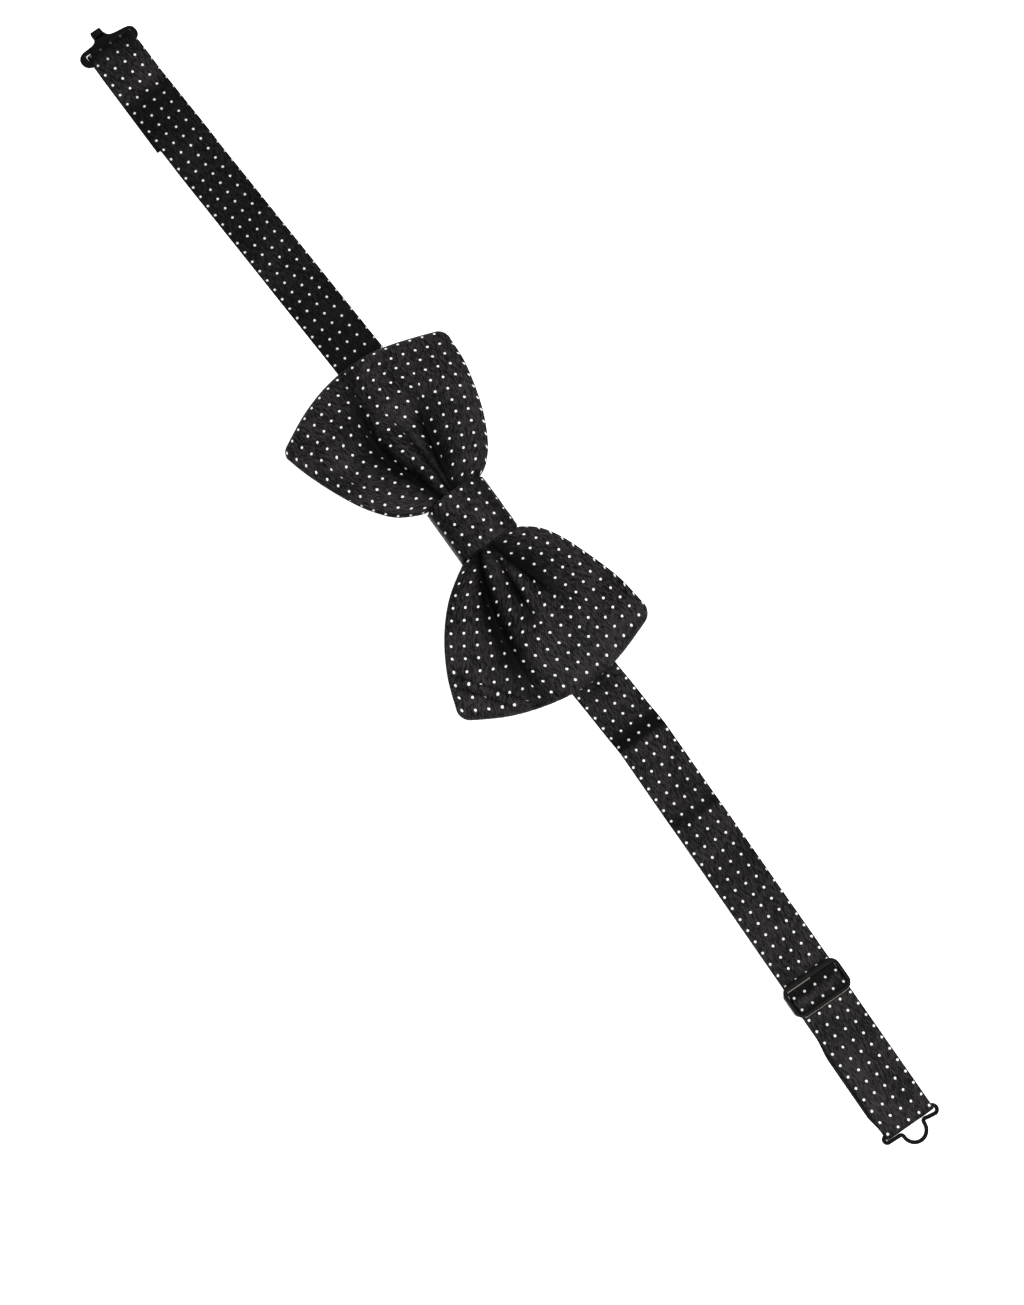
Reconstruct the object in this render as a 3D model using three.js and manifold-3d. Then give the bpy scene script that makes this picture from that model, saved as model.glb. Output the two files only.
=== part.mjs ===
// A ready-tied bow tie: a pleated silk bow held by a knot, on an adjustable neckband
// that closes at the back of the neck with a flat hook and a wire eye.
//
// It lies on its back. The origin is the middle of the knot's underside, +X runs along
// the neckband towards the adjuster and the eye, +Y is up when the tie is worn, and +Z is
// the side that faces forwards. All sizes are in millimetres.

import * as THREE from "three";
import { mergeVertices } from "three/addons/utils/BufferGeometryUtils.js";
import Module from "manifold-3d";

const wasm = await Module();
wasm.setup();

// ---------------------------------------------------------------- driving dimensions

// Cloth
const SILK = 0.25;
const PLAY = 0.05;
const LAYER_GAP = 0.1;
const SEAM_WIDTH = 1.2;

// Neckband
const BAND_WIDTH = 19;
const BAND_THICK = 0.9;
const BAND_SHIFT = 1.2;
const BEND_GAP = 0.3;
const NEAR_BEND = 30;
const MID_BEND = 80;
const END_BEND = 130;

// Bow and knot
const KNOT_WIDTH = 23;
const KNOT_EASE = 0.5;
const KNOT_HEIGHT = 12.6;
const KNOT_SHIFT = 0.5;
const KNOT_SEAM_AT = -6;
const KNOT_THICK = 1.0;
const KNOT_CORNER = 1.2;
const BINDING_THICK = 0.5;
const BINDING_WIDTH = 14;
const BOW_THICK = 1.4;
const BOW_HEIGHT = 77.6;
const WING_CROWN = 13.8;
const WING_EDGE = 10.2;
const WAIST_DROP = 3.5;
const WAIST_FILL = 0.98;
const REAR_HEIGHT = 2.4;
const FOLD_START = 0.93;
const FOLD_CROWN = 0.72 * WING_CROWN;
const FOLD_EDGE = 0.75 * WING_EDGE;

// Hook end
const HOOK_BAR_AT = 221.9;
const HOOK_AXIS_HEIGHT = 2.4;
const HOOK_PLATE_THICK = 0.7;
const HOOK_BAR_WIDTH = 1.1;
const HOOK_MARGIN = 1.8;
const HOOK_PLATE_DEPTH = 2;
const HOOK_FOLD_REACH = 2.4;
const HOOK_EAR_WIDTH = 1.2;
const HOOK_TAB_WIDTH = 4.6;
const HOOK_TAB_LENGTH = 5.4;
const HOOK_TIP_GAP = 1.3;
const HOOK_TIP_LENGTH = 2.6;
const HOOK_TAIL_LENGTH = 41;
const HOOK_TAIL_SLANT = 1.2;

// Adjuster end
const RUN_HEIGHT = 2.3;
const TAIL_THICK = 0.6;
const TAIL_SHIFT = -1.0;
const SLIDER_AT = 199.3;
const SLIDER_LENGTH = 12.4;
const SLIDER_MARGIN = 1.6;
const SLIDER_CLEARANCE = 0.25;
const RAIL_THICK = 1.0;
const NEAR_RAIL = 2.3;
const FAR_RAIL = 1.7;
const SLIDER_BAR_WIDTH = 1.8;
const SLIDER_BAR_THICK = 0.8;
const TOP_RUN_START = 138;
const EYE_BAR_AT = 252;
const EYE_WIRE = 1.1;
const EYE_MARGIN = 1.3;
const EYE_FOLD_LENGTH = 2.9;
const EYE_LOOP_RADIUS = 4.1;
const EYE_LOOP_DEPTH = 5.3;

// ---------------------------------------------------------------- worked-out dimensions

const HALF_BAND = BAND_WIDTH / 2;
const HALF_GAP = BEND_GAP / 2;
const TACK_WIDTH = 0.7 * BAND_WIDTH;
const KNOT_ROOM = BAND_WIDTH / 2 + BAND_SHIFT - KNOT_SHIFT + KNOT_EASE;
const KNOT_SPAN = 2 * (KNOT_ROOM + KNOT_THICK);
const HOOK_PLATE_SPAN = BAND_WIDTH + 2 * HOOK_MARGIN;
const SLIDER_SPAN = BAND_WIDTH + 2 * SLIDER_MARGIN;
const EYE_SPAN = BAND_WIDTH + 2 * EYE_MARGIN;
const KNOT_BAND_HEIGHT = KNOT_THICK + LAYER_GAP + BAND_THICK / 2;
const BINDING_BOTTOM = KNOT_THICK + BAND_THICK + 2 * LAYER_GAP;
const REAR_WAIST_HEIGHT = BINDING_BOTTOM + BINDING_THICK + LAYER_GAP + BOW_THICK / 2;
const WAIST_TOP = KNOT_HEIGHT - KNOT_THICK - BINDING_THICK - 3 * LAYER_GAP - BOW_THICK / 2;
const WAIST_EDGE = WAIST_TOP - WAIST_DROP;
const WAIST_ROOM = KNOT_ROOM - BINDING_THICK - 2 * LAYER_GAP;
const WAIST_HALF = WAIST_FILL * WAIST_ROOM;
const WAIST_REACH = KNOT_WIDTH / 2 + BEND_GAP;
const SHEATH_CORE = PLAY + SILK;

// ---------------------------------------------------------------- finishes

function silkFinish() {
  return new THREE.MeshStandardMaterial({ color: 0x1e1c1d, roughness: 0.62, metalness: 0 });
}

function liningFinish() {
  return new THREE.MeshStandardMaterial({ color: 0xd8d2c4, roughness: 0.9, metalness: 0 });
}

function threadFinish() {
  return new THREE.MeshStandardMaterial({ color: 0x151414, roughness: 0.7, metalness: 0 });
}

function hardwareFinish() {
  return new THREE.MeshStandardMaterial({ color: 0x0d0d0d, roughness: 0.3, metalness: 0.6 });
}

// ---------------------------------------------------------------- shape helpers

/** A closed BufferGeometry from points and triangles, turned so that its faces point out. */
function closedGeometry(points, triangles) {
  let sixVolumes = 0;
  for (const [a, b, c] of triangles) {
    sixVolumes += points[a].dot(new THREE.Vector3().crossVectors(points[b], points[c]));
  }
  const outward = sixVolumes > 0 ? triangles : triangles.map(([a, b, c]) => [a, c, b]);
  const geometry = new THREE.BufferGeometry().setFromPoints(points);
  geometry.setIndex(outward.flat());
  geometry.computeVertexNormals();
  return geometry;
}

/** Directions square to a path at its stations, made longer at corners as in a mitre. */
function pathNormals(path, closed) {
  const last = path.length - 1;
  return path.map((point, i) => {
    const before = path[i > 0 ? i - 1 : closed ? last : 0];
    const after = path[i < last ? i + 1 : closed ? 0 : last];
    const into = new THREE.Vector2(point.along - before.along, point.up - before.up);
    const out = new THREE.Vector2(after.along - point.along, after.up - point.up);
    const first = into.lengthSq() > 0 ? into.normalize() : out.clone().normalize();
    const second = out.lengthSq() > 0 ? out.normalize() : first.clone();
    const middle = first.clone().add(second).normalize();
    const mitre = 1 / Math.max(0.5, middle.dot(first));
    return { along: -middle.y * mitre, up: middle.x * mitre };
  });
}

/**
 * A strip of cloth of one thickness along a path of {along, up} stations.
 * place(station, side, inset, lift, push) gives the point at side -1 to 1 across the strip.
 * With a wall the strip is a hollow sleeve, open at its two ends.
 */
function clothRun({ path, thick, place, samples = 2, wall = 0, closed = false, slack = 0 }) {
  const normals = pathNormals(path, closed);
  const points = [];
  const triangles = [];
  const loopSize = 2 * samples;
  const layers = wall > 0 ? [0, wall] : [slack];
  const addRing = (i, inset) => {
    const half = thick / 2 - inset;
    for (let k = 0; k < loopSize; k += 1) {
      const upper = k < samples;
      const step = upper ? k : loopSize - 1 - k;
      const side = -1 + (2 * step) / (samples - 1);
      const offset = upper ? half : -half;
      points.push(place(path[i], side, inset, normals[i].up * offset, normals[i].along * offset));
    }
  };
  for (const inset of layers) {
    path.forEach((station, i) => addRing(i, inset));
  }
  const ringStart = (layer, i) => (layer * path.length + i) * loopSize;
  const joins = closed ? path.length : path.length - 1;
  layers.forEach((inset, layer) => {
    for (let i = 0; i < joins; i += 1) {
      const here = ringStart(layer, i);
      const next = ringStart(layer, (i + 1) % path.length);
      for (let k = 0; k < loopSize; k += 1) {
        const turn = (k + 1) % loopSize;
        const quad = [here + k, next + k, next + turn, here + turn];
        addQuad(triangles, quad, layer === 1);
      }
    }
  });
  if (!closed) {
    addEnd(triangles, ringStart, 0, samples, loopSize, layers.length, false);
    addEnd(triangles, ringStart, path.length - 1, samples, loopSize, layers.length, true);
  }
  return closedGeometry(points, triangles);
}

/** Two triangles that share the diagonal a-c, whichever way the quad is turned. */
function addQuad(triangles, [a, b, c, d], turned) {
  if (turned) {
    triangles.push([a, c, b], [a, d, c]);
  } else {
    triangles.push([a, b, c], [a, c, d]);
  }
}

/** The end of a strip is filled in; the end of a sleeve is the rim round its opening. */
function addEnd(triangles, ringStart, i, samples, loopSize, layerCount, far) {
  const outer = ringStart(0, i);
  if (layerCount === 1) {
    for (let k = 0; k < samples - 1; k += 1) {
      const quad = [outer + k, outer + k + 1, outer + loopSize - 2 - k, outer + loopSize - 1 - k];
      addQuad(triangles, quad, far);
    }
    return;
  }
  const inner = ringStart(1, i);
  for (let k = 0; k < loopSize; k += 1) {
    const turn = (k + 1) % loopSize;
    const quad = [outer + k, outer + turn, inner + turn, inner + k];
    addQuad(triangles, quad, far);
  }
}

/** A three.js geometry as a manifold-3d solid. */
function solidOf(geometry) {
  const bare = geometry.clone();
  bare.deleteAttribute("normal");
  bare.deleteAttribute("uv");
  const merged = mergeVertices(bare, 1e-5);
  const vertProperties = new Float32Array(merged.attributes.position.array);
  const triVerts = new Uint32Array(merged.index.array);
  return new wasm.Manifold(new wasm.Mesh({ numProp: 3, vertProperties, triVerts }));
}

/** A manifold-3d solid as a three.js geometry. */
function geometryOf(solid) {
  const mesh = solid.getMesh();
  const geometry = new THREE.BufferGeometry();
  geometry.setAttribute("position", new THREE.BufferAttribute(mesh.vertProperties, 3));
  geometry.setIndex(new THREE.BufferAttribute(mesh.triVerts, 1));
  geometry.computeVertexNormals();
  return geometry;
}

/** A box between two corners. */
function boxBetween(low, high) {
  const geometry = new THREE.BoxGeometry(high[0] - low[0], high[1] - low[1], high[2] - low[2]);
  const middle = low.map((value, i) => (value + high[i]) / 2);
  return geometry.translate(...middle);
}

/** A named mesh with its own material. */
function piece(name, geometry, material) {
  const mesh = new THREE.Mesh(geometry, material);
  mesh.name = name;
  return mesh;
}

// ---------------------------------------------------------------- neckband centre line

// The band is straight behind the knot, leans a little towards the hook, and has a slight
// crook outside the bow on the adjuster side.
const BAND_LINE = [
  [-240, -5.65],
  [-70, 2.3],
  [-NEAR_BEND, BAND_SHIFT],
  [NEAR_BEND, BAND_SHIFT],
  [95, 4.5],
  [270, 0.96],
].map(([x, y]) => new THREE.Vector2(x, y));
const MIDDLE_LEG = 2;
const CROOK_BLEND = 4;

/** The centre line's straight legs. Each starts at a distance along it from x = 0. */
function bandLegs() {
  const legs = [];
  for (let i = 0; i < BAND_LINE.length - 1; i += 1) {
    const run = BAND_LINE[i + 1].clone().sub(BAND_LINE[i]);
    legs.push({ from: BAND_LINE[i], length: run.length(), heading: run.normalize() });
  }
  legs[MIDDLE_LEG].start = BAND_LINE[MIDDLE_LEG].x;
  for (let i = MIDDLE_LEG - 1; i >= 0; i -= 1) {
    legs[i].start = legs[i + 1].start - legs[i].length;
  }
  for (let i = MIDDLE_LEG + 1; i < legs.length; i += 1) {
    legs[i].start = legs[i - 1].start + legs[i - 1].length;
  }
  return legs;
}

const LEGS = bandLegs();

/** Point and heading of the centre line at a distance, with the heading eased at a crook. */
function bandFrame(distance) {
  const found = LEGS.findLastIndex((leg) => distance >= leg.start);
  const index = Math.max(0, found);
  const leg = LEGS[index];
  const point = leg.from.clone().addScaledVector(leg.heading, distance - leg.start);
  const heading = leg.heading.clone();
  const before = LEGS[index - 1];
  const after = LEGS[index + 1];
  if (before && distance - leg.start < CROOK_BLEND) {
    const ease = 0.5 + (distance - leg.start) / (2 * CROOK_BLEND);
    heading.lerpVectors(before.heading, leg.heading, ease).normalize();
  }
  if (after && after.start - distance < CROOK_BLEND) {
    const ease = 0.5 - (after.start - distance) / (2 * CROOK_BLEND);
    heading.lerpVectors(leg.heading, after.heading, ease).normalize();
  }
  return { point, heading };
}

/** Places a station of the neckband; station.shift moves it sideways. */
function onBand(width) {
  return (station, side, inset, lift, push) => {
    const { point, heading } = bandFrame(station.along);
    const across = side * (width / 2 - inset) + (station.shift ?? 0);
    const x = point.x + heading.x * push - heading.y * across;
    const y = point.y + heading.y * push + heading.x * across;
    return new THREE.Vector3(x, y, station.up + lift);
  };
}

/** Turns a group so that its +X lies along the band at a distance from the middle. */
function groupOnBand(distance) {
  const { point, heading } = bandFrame(distance);
  const group = new THREE.Group();
  group.position.set(point.x, point.y, 0);
  group.rotation.z = Math.atan2(heading.y, heading.x);
  return group;
}

/** A station of a path: distance along the band, height, and sideways shift. */
function at(along, up, shift = 0) {
  return { along, up, shift };
}

/** Stations of an arc in the side view, from one angle to another, in degrees. */
function arcAt(centre, height, radius, from, to, steps, shift = 0) {
  const stations = [];
  for (let i = 0; i <= steps; i += 1) {
    const angle = THREE.MathUtils.degToRad(from + ((to - from) * i) / steps);
    const along = centre + radius * Math.cos(angle);
    stations.push(at(along, height + radius * Math.sin(angle), shift));
  }
  return stations;
}

/** A silk sleeve and the interlining strip that lies in it, along one path. */
function bandSection(name, path) {
  const place = onBand(BAND_WIDTH);
  const silk = clothRun({ path, thick: BAND_THICK, place, wall: SILK });
  const strip = clothRun({ path, thick: BAND_THICK, place, slack: SHEATH_CORE });
  return [
    piece(`${name}_silk`, silk, silkFinish()),
    piece(`${name}_interlining`, strip, liningFinish()),
  ];
}

// ---------------------------------------------------------------- bow

// Outlines of the two wings, as distances from the middle of a knot 23 wide. Each runs
// outwards along its upper and lower edge, and along its folded end from the lower corner
// to the upper. They are moved out with a wider knot and scaled to the bow's height.
const OUTLINE_KNOT = 23;
const HOOK_WING = {
  direction: -1,
  upper: [[12.9, 14], [16.2, 18.3], [22.6, 22.4], [32.2, 26.6], [46, 30.3], [62.7, 33]],
  lower: [[12.9, -14.2], [17.9, -22.5], [27.5, -30.1], [42, -37], [56.8, -41.7]],
  end: [[64.6, -26.8], [69, -13.1], [70.3, 1], [68.4, 14]],
};
const ADJUSTER_WING = {
  direction: 1,
  upper: [[12.5, 13.2], [16.3, 17.5], [22, 20.9], [29.7, 24.2], [44.2, 28.9], [62, 32.9]],
  lower: [[12.5, -12.8], [20.1, -23.4], [29.7, -32], [41.2, -38.8], [55.4, -44.7]],
  end: [[63.9, -29.6], [68.8, -14.1], [70.4, 1], [68.2, 15]],
};

const OUTLINE_HEIGHT = ADJUSTER_WING.upper.at(-1)[1] - ADJUSTER_WING.lower.at(-1)[1];

/** The four edge curves of a wing, from the knot outwards and from below upwards. */
function wingEdges(wing) {
  const outward = (KNOT_WIDTH - OUTLINE_KNOT) / 2;
  const scale = BOW_HEIGHT / OUTLINE_HEIGHT;
  const vectors = (points) => points.map(([x, y]) => new THREE.Vector2(x + outward, y * scale));
  const low = new THREE.Vector2(WAIST_REACH, KNOT_SHIFT - WAIST_HALF);
  const high = new THREE.Vector2(WAIST_REACH, KNOT_SHIFT + WAIST_HALF);
  const lowerCorner = wing.lower.at(-1);
  const upperCorner = wing.upper.at(-1);
  const upper = new THREE.SplineCurve([high, ...vectors(wing.upper)]);
  const lower = new THREE.SplineCurve([low, ...vectors(wing.lower)]);
  const end = new THREE.SplineCurve(vectors([lowerCorner, ...wing.end, upperCorner]));
  return { direction: wing.direction, upper, lower, end, low, high };
}

/** Plan position on a wing: a patch blended from its four edges (a Coons patch). */
function wingPoint(edges, out, rise) {
  const below = edges.lower.getPointAt(out);
  const above = edges.upper.getPointAt(out);
  const root = edges.low.clone().lerp(edges.high, rise);
  const fold = edges.end.getPointAt(rise);
  const chord = edges.end.getPointAt(0).lerp(edges.end.getPointAt(1), rise);
  const between = below.lerp(above, rise);
  const along = root.clone().lerp(fold, out);
  const straight = root.clone().lerp(chord, out);
  const point = between.add(along).sub(straight);
  return new THREE.Vector2(edges.direction * point.x, point.y);
}

/** A value that follows a smooth curve through [share, value] pairs. */
function smoothValue(pairs, share) {
  const upper = pairs.findIndex(([at]) => at >= share);
  const last = upper < 0 ? pairs.length - 1 : Math.max(1, upper);
  const [fromShare, fromValue] = pairs[last - 1];
  const [toShare, toValue] = pairs[last];
  const part = THREE.MathUtils.clamp((share - fromShare) / (toShare - fromShare), 0, 1);
  return THREE.MathUtils.lerp(fromValue, toValue, THREE.MathUtils.smoothstep(part, 0, 1));
}

// Heights of the cloth's middle over the rest plane, from the knot (0) to the fold (1).
const FRONT_CROWN = [[0, WAIST_TOP], [0.35, WING_CROWN], [0.65, WING_CROWN], [1, FOLD_CROWN]];
const FRONT_EDGE = [[0, WAIST_EDGE], [0.3, WING_EDGE], [0.7, WING_EDGE], [1, FOLD_EDGE]];
const REAR = [[0, REAR_WAIST_HEIGHT], [0.3, REAR_HEIGHT], [1, REAR_HEIGHT]];

/** Height of the front panel's cloth: highest along its middle, lower towards its edges. */
function frontHeight(out, side) {
  const crown = smoothValue(FRONT_CROWN, out);
  const edge = smoothValue(FRONT_EDGE, out);
  return edge + (crown - edge) * (1 - side * side);
}

/** Stations of half the bow's loop, from the middle of the front to the middle of the back. */
function loopStations(wing) {
  const edges = wingEdges(wing);
  const stations = [];
  const add = (out, level) => stations.push({ edges, out, level });
  const panelSteps = 8;
  const foldSteps = 6;
  const waistOuts = [-1, -0.5];
  const backEnd = -0.06;
  for (const out of waistOuts) {
    add(out, 1);
  }
  for (let i = 0; i <= panelSteps; i += 1) {
    add((FOLD_START * i) / panelSteps, 1);
  }
  for (let i = 1; i < foldSteps; i += 1) {
    const angle = (Math.PI * i) / foldSteps;
    add(FOLD_START + (1 - FOLD_START) * Math.sin(angle), Math.cos(angle));
  }
  for (let i = panelSteps; i >= 0; i -= 1) {
    add((FOLD_START * i) / panelSteps, -1);
  }
  add(-0.5, -1);
  add(-1 - backEnd, -1);
  return stations;
}

/** Plan and height of a station of the loop; out runs -1 to 0 across the waist. */
function loopPoint({ edges, out, level }, side) {
  const rise = (side + 1) / 2;
  const onWing = THREE.MathUtils.clamp(out, 0, 1);
  const waist = new THREE.Vector2(
    edges.direction * WAIST_REACH * (1 + out),
    KNOT_SHIFT + side * WAIST_HALF,
  );
  const plan = out < 0 ? waist : wingPoint(edges, onWing, rise);
  const share = Math.min(onWing, FOLD_START);
  const front = frontHeight(share, side);
  const rear = smoothValue(REAR, share);
  const height = (front + rear) / 2 + (level * (front - rear)) / 2;
  return { plan, height };
}

/** The loop as a path: its middle line gives the directions in which the cloth is thick. */
function bowLoop() {
  const outward = loopStations(ADJUSTER_WING);
  const back = loopStations(HOOK_WING).reverse();
  const stations = [...back.slice(0, -1), ...outward];
  return stations.map((station) => {
    const { plan, height } = loopPoint(station, 0);
    return { ...station, along: plan.x, up: height };
  });
}

/** Places a station of the bow, drawn in from its edges by the inset. */
function onBow(station, side, inset, lift, push) {
  const halfWidth = wingHalfWidth(station);
  const { plan, height } = loopPoint(station, side * (1 - inset / halfWidth));
  return new THREE.Vector3(plan.x + push, plan.y, height + lift);
}

/** Half the distance between the bow's two edges at a station. */
function wingHalfWidth(station) {
  const low = loopPoint(station, -1).plan;
  const high = loopPoint(station, 1).plan;
  return low.distanceTo(high) / 2;
}

/** The bow: a silk loop, the canvas that lies in it, and the seam down its back. */
function makeBow() {
  const path = bowLoop();
  const across = 7;
  const silk = clothRun({ path, thick: BOW_THICK, place: onBow, samples: across, wall: SILK });
  const canvas = clothRun({
    path, thick: BOW_THICK, place: onBow, samples: across, slack: SHEATH_CORE,
  });
  const seamHalf = SEAM_WIDTH / 2 - LAYER_GAP;
  const seamReach = WAIST_HALF - SILK;
  const seam = boxBetween(
    [-seamHalf, KNOT_SHIFT - seamReach, REAR_WAIST_HEIGHT - BOW_THICK / 2],
    [seamHalf, KNOT_SHIFT + seamReach, REAR_WAIST_HEIGHT + BOW_THICK / 2],
  );
  return [
    piece("bow_silk", silk, silkFinish()),
    piece("bow_canvas", canvas, liningFinish()),
    piece("bow_back_seam", seam, threadFinish()),
  ];
}

// ---------------------------------------------------------------- knot

/**
 * Section of a ring round the bow's waist: flat below, upright sides and an arched top.
 * along is the distance across the tie and up the height, both on the ring's middle line.
 * With a seam the ring is open there by the seam's width; without one it closes on itself.
 */
function waistRing({ half, bottom, shoulder, top, corner, seam }) {
  const stations = [];
  const cornerSteps = 4;
  const archSteps = 14;
  stations.push({ along: KNOT_SEAM_AT + seam / 2, up: bottom });
  for (let i = 0; i <= cornerSteps; i += 1) {
    const angle = -Math.PI / 2 + ((Math.PI / 2) * i) / cornerSteps;
    const along = half - corner + corner * Math.cos(angle);
    stations.push({ along, up: bottom + corner + corner * Math.sin(angle) });
  }
  for (let i = 0; i <= archSteps; i += 1) {
    const angle = (Math.PI * i) / archSteps;
    const up = shoulder + (top - shoulder) * Math.sin(angle);
    stations.push({ along: half * Math.cos(angle), up });
  }
  for (let i = 0; i <= cornerSteps; i += 1) {
    const angle = Math.PI + ((Math.PI / 2) * i) / cornerSteps;
    const along = -half + corner + corner * Math.cos(angle);
    stations.push({ along, up: bottom + corner + corner * Math.sin(angle) });
  }
  if (seam > 0) {
    stations.push({ along: KNOT_SEAM_AT - seam / 2, up: bottom });
  } else {
    stations.shift();
  }
  return stations;
}

/** Places a station of a ring whose cloth is width wide along X. */
function roundWaist(width) {
  return (station, side, inset, lift, push) => {
    const x = side * (width / 2 - inset);
    const y = KNOT_SHIFT + station.along + push;
    return new THREE.Vector3(x, y, station.up + lift);
  };
}

/** The knot: a silk ring with its interlining and seam, over the binding round the waist. */
function makeKnot() {
  const half = (KNOT_SPAN - KNOT_THICK) / 2;
  const shoulder = WAIST_EDGE;
  const corner = KNOT_CORNER;
  const top = KNOT_HEIGHT - KNOT_THICK / 2;
  const path = waistRing({
    half, bottom: KNOT_THICK / 2, shoulder, top, corner, seam: SEAM_WIDTH,
  });
  const place = roundWaist(KNOT_WIDTH);
  const silk = clothRun({ path, thick: KNOT_THICK, place, wall: SILK });
  const strip = clothRun({ path, thick: KNOT_THICK, place, slack: SHEATH_CORE });
  const seamHalf = SEAM_WIDTH / 2 - LAYER_GAP;
  const seamReach = KNOT_WIDTH / 2 - SILK;
  const seam = boxBetween(
    [-seamReach, KNOT_SHIFT + KNOT_SEAM_AT - seamHalf, 0],
    [seamReach, KNOT_SHIFT + KNOT_SEAM_AT + seamHalf, KNOT_THICK],
  );
  const bindingGap = KNOT_THICK / 2 + 2 * LAYER_GAP + BINDING_THICK / 2;
  const bindingCorner = BINDING_THICK / 2 + LAYER_GAP;
  const bindingPath = waistRing({
    half: half - bindingGap,
    bottom: BINDING_BOTTOM + BINDING_THICK / 2,
    shoulder,
    top: top - bindingGap,
    corner: bindingCorner,
    seam: 0,
  });
  const binding = clothRun({
    path: bindingPath, thick: BINDING_THICK, place: roundWaist(BINDING_WIDTH), closed: true,
  });
  return [
    piece("knot_silk", silk, silkFinish()),
    piece("knot_interlining", strip, liningFinish()),
    piece("knot_seam", seam, threadFinish()),
    piece("waist_binding", binding, threadFinish()),
  ];
}

// ---------------------------------------------------------------- neckband sections

const BAND_FLAT = BAND_THICK / 2;
const RUN_LEVEL = RUN_HEIGHT + BAND_THICK / 2;

/** The middle of the band: it rises a little to pass through the knot. */
function makeCentreBand() {
  const rampLength = 7;
  const rampTop = KNOT_WIDTH / 2 + 1;
  const rampFoot = rampTop + rampLength;
  const edge = NEAR_BEND - HALF_GAP;
  return bandSection("band_centre", [
    at(-edge, BAND_FLAT),
    at(-rampFoot, BAND_FLAT),
    at(-rampTop, KNOT_BAND_HEIGHT),
    at(rampTop, KNOT_BAND_HEIGHT),
    at(rampFoot, BAND_FLAT),
    at(edge, BAND_FLAT),
  ]);
}

/** The two inner sections of the band on the hook's side. */
function makeHookBand() {
  const lean = LEGS[1].start;
  const near = [
    -MID_BEND + HALF_GAP, lean - CROOK_BLEND, lean, lean + CROOK_BLEND, -NEAR_BEND - HALF_GAP,
  ];
  const mid = [-END_BEND + HALF_GAP, -MID_BEND - HALF_GAP];
  return [
    ...bandSection("hook_band_near", near.map((along) => at(along, BAND_FLAT))),
    ...bandSection("hook_band_mid", mid.map((along) => at(along, BAND_FLAT))),
  ];
}

/** The hook's end: the band rises over its tail, folds loosely round the bar and runs back. */
function makeHookEnd() {
  const foldRadius = HOOK_PLATE_THICK * 0.5 + HOOK_BAR_WIDTH * 0.5 - LAYER_GAP + BAND_THICK / 2;
  const foldAt = -HOOK_BAR_AT - HOOK_FOLD_REACH;
  const tailEnd = -HOOK_BAR_AT + HOOK_TAIL_LENGTH;
  const overTail = BAND_FLAT + BAND_THICK + LAYER_GAP;
  const riseTop = tailEnd + 3;
  const riseFoot = riseTop + 10;
  const dropTop = -HOOK_BAR_AT + 4;
  const dropFoot = dropTop + 10;
  const dropHeight = HOOK_AXIS_HEIGHT + foldRadius - 0.25;
  const shift = (along) => (-HOOK_TAIL_SLANT * (along + HOOK_BAR_AT)) / HOOK_TAIL_LENGTH;
  const fold = arcAt(foldAt, HOOK_AXIS_HEIGHT, foldRadius, 90, 270, 8);
  const tailFoot = -HOOK_BAR_AT + 9;
  const path = [
    at(-END_BEND - HALF_GAP, BAND_FLAT),
    at(riseFoot, BAND_FLAT),
    at(riseTop, overTail),
    at(dropFoot, overTail),
    at(dropTop, dropHeight),
    ...fold,
    at(tailFoot, BAND_FLAT, shift(tailFoot)),
    at(tailEnd, BAND_FLAT, shift(tailEnd)),
  ];
  const tackShift = shift(tailEnd);
  const tackLength = 1;
  const tackStart = tailEnd + LAYER_GAP;
  const tackPath = [at(tackStart, BAND_FLAT), at(tackStart + tackLength, BAND_FLAT)];
  const tack = clothRun({
    path: tackPath.map((station) => ({ ...station, shift: tackShift })),
    thick: BAND_THICK - 2 * LAYER_GAP,
    place: onBand(TACK_WIDTH),
  });
  return [...bandSection("hook_band_end", path), piece("hook_bartack", tack, threadFinish())];
}

/** The band on the adjuster's side, which rises over the adjuster's lower runs. */
function makeAdjusterBand() {
  const near = [NEAR_BEND + HALF_GAP, NEAR_BEND + CROOK_BLEND, MID_BEND - HALF_GAP];
  const crook = LEGS.at(-1).start;
  const riseMargin = 6;
  const riseFoot = crook + riseMargin;
  const riseTop = END_BEND - riseMargin;
  return [
    ...bandSection("adjuster_band_near", near.map((along) => at(along, BAND_FLAT))),
    ...bandSection("adjuster_band_mid", [
      at(MID_BEND + HALF_GAP, BAND_FLAT),
      at(crook - CROOK_BLEND, BAND_FLAT),
      at(crook, BAND_FLAT),
      at(crook + CROOK_BLEND, BAND_FLAT),
      at(riseFoot, BAND_FLAT),
      at(riseTop, RUN_LEVEL),
      at(END_BEND - HALF_GAP, RUN_LEVEL),
    ]),
    ...bandSection("adjuster_band_end", [
      at(END_BEND + HALF_GAP, RUN_LEVEL),
      at(TOP_RUN_START - HALF_GAP, RUN_LEVEL),
    ]),
  ];
}

// ---------------------------------------------------------------- adjuster end

const FOLD_RADIUS = (RUN_LEVEL - TAIL_THICK / 2) / 2;
const FOLD_HEIGHT = TAIL_THICK / 2 + FOLD_RADIUS;
const FOLD_START_AT = EYE_BAR_AT - EYE_FOLD_LENGTH;
const TAIL_START = SLIDER_AT + SLIDER_LENGTH / 2 + 6;

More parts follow.
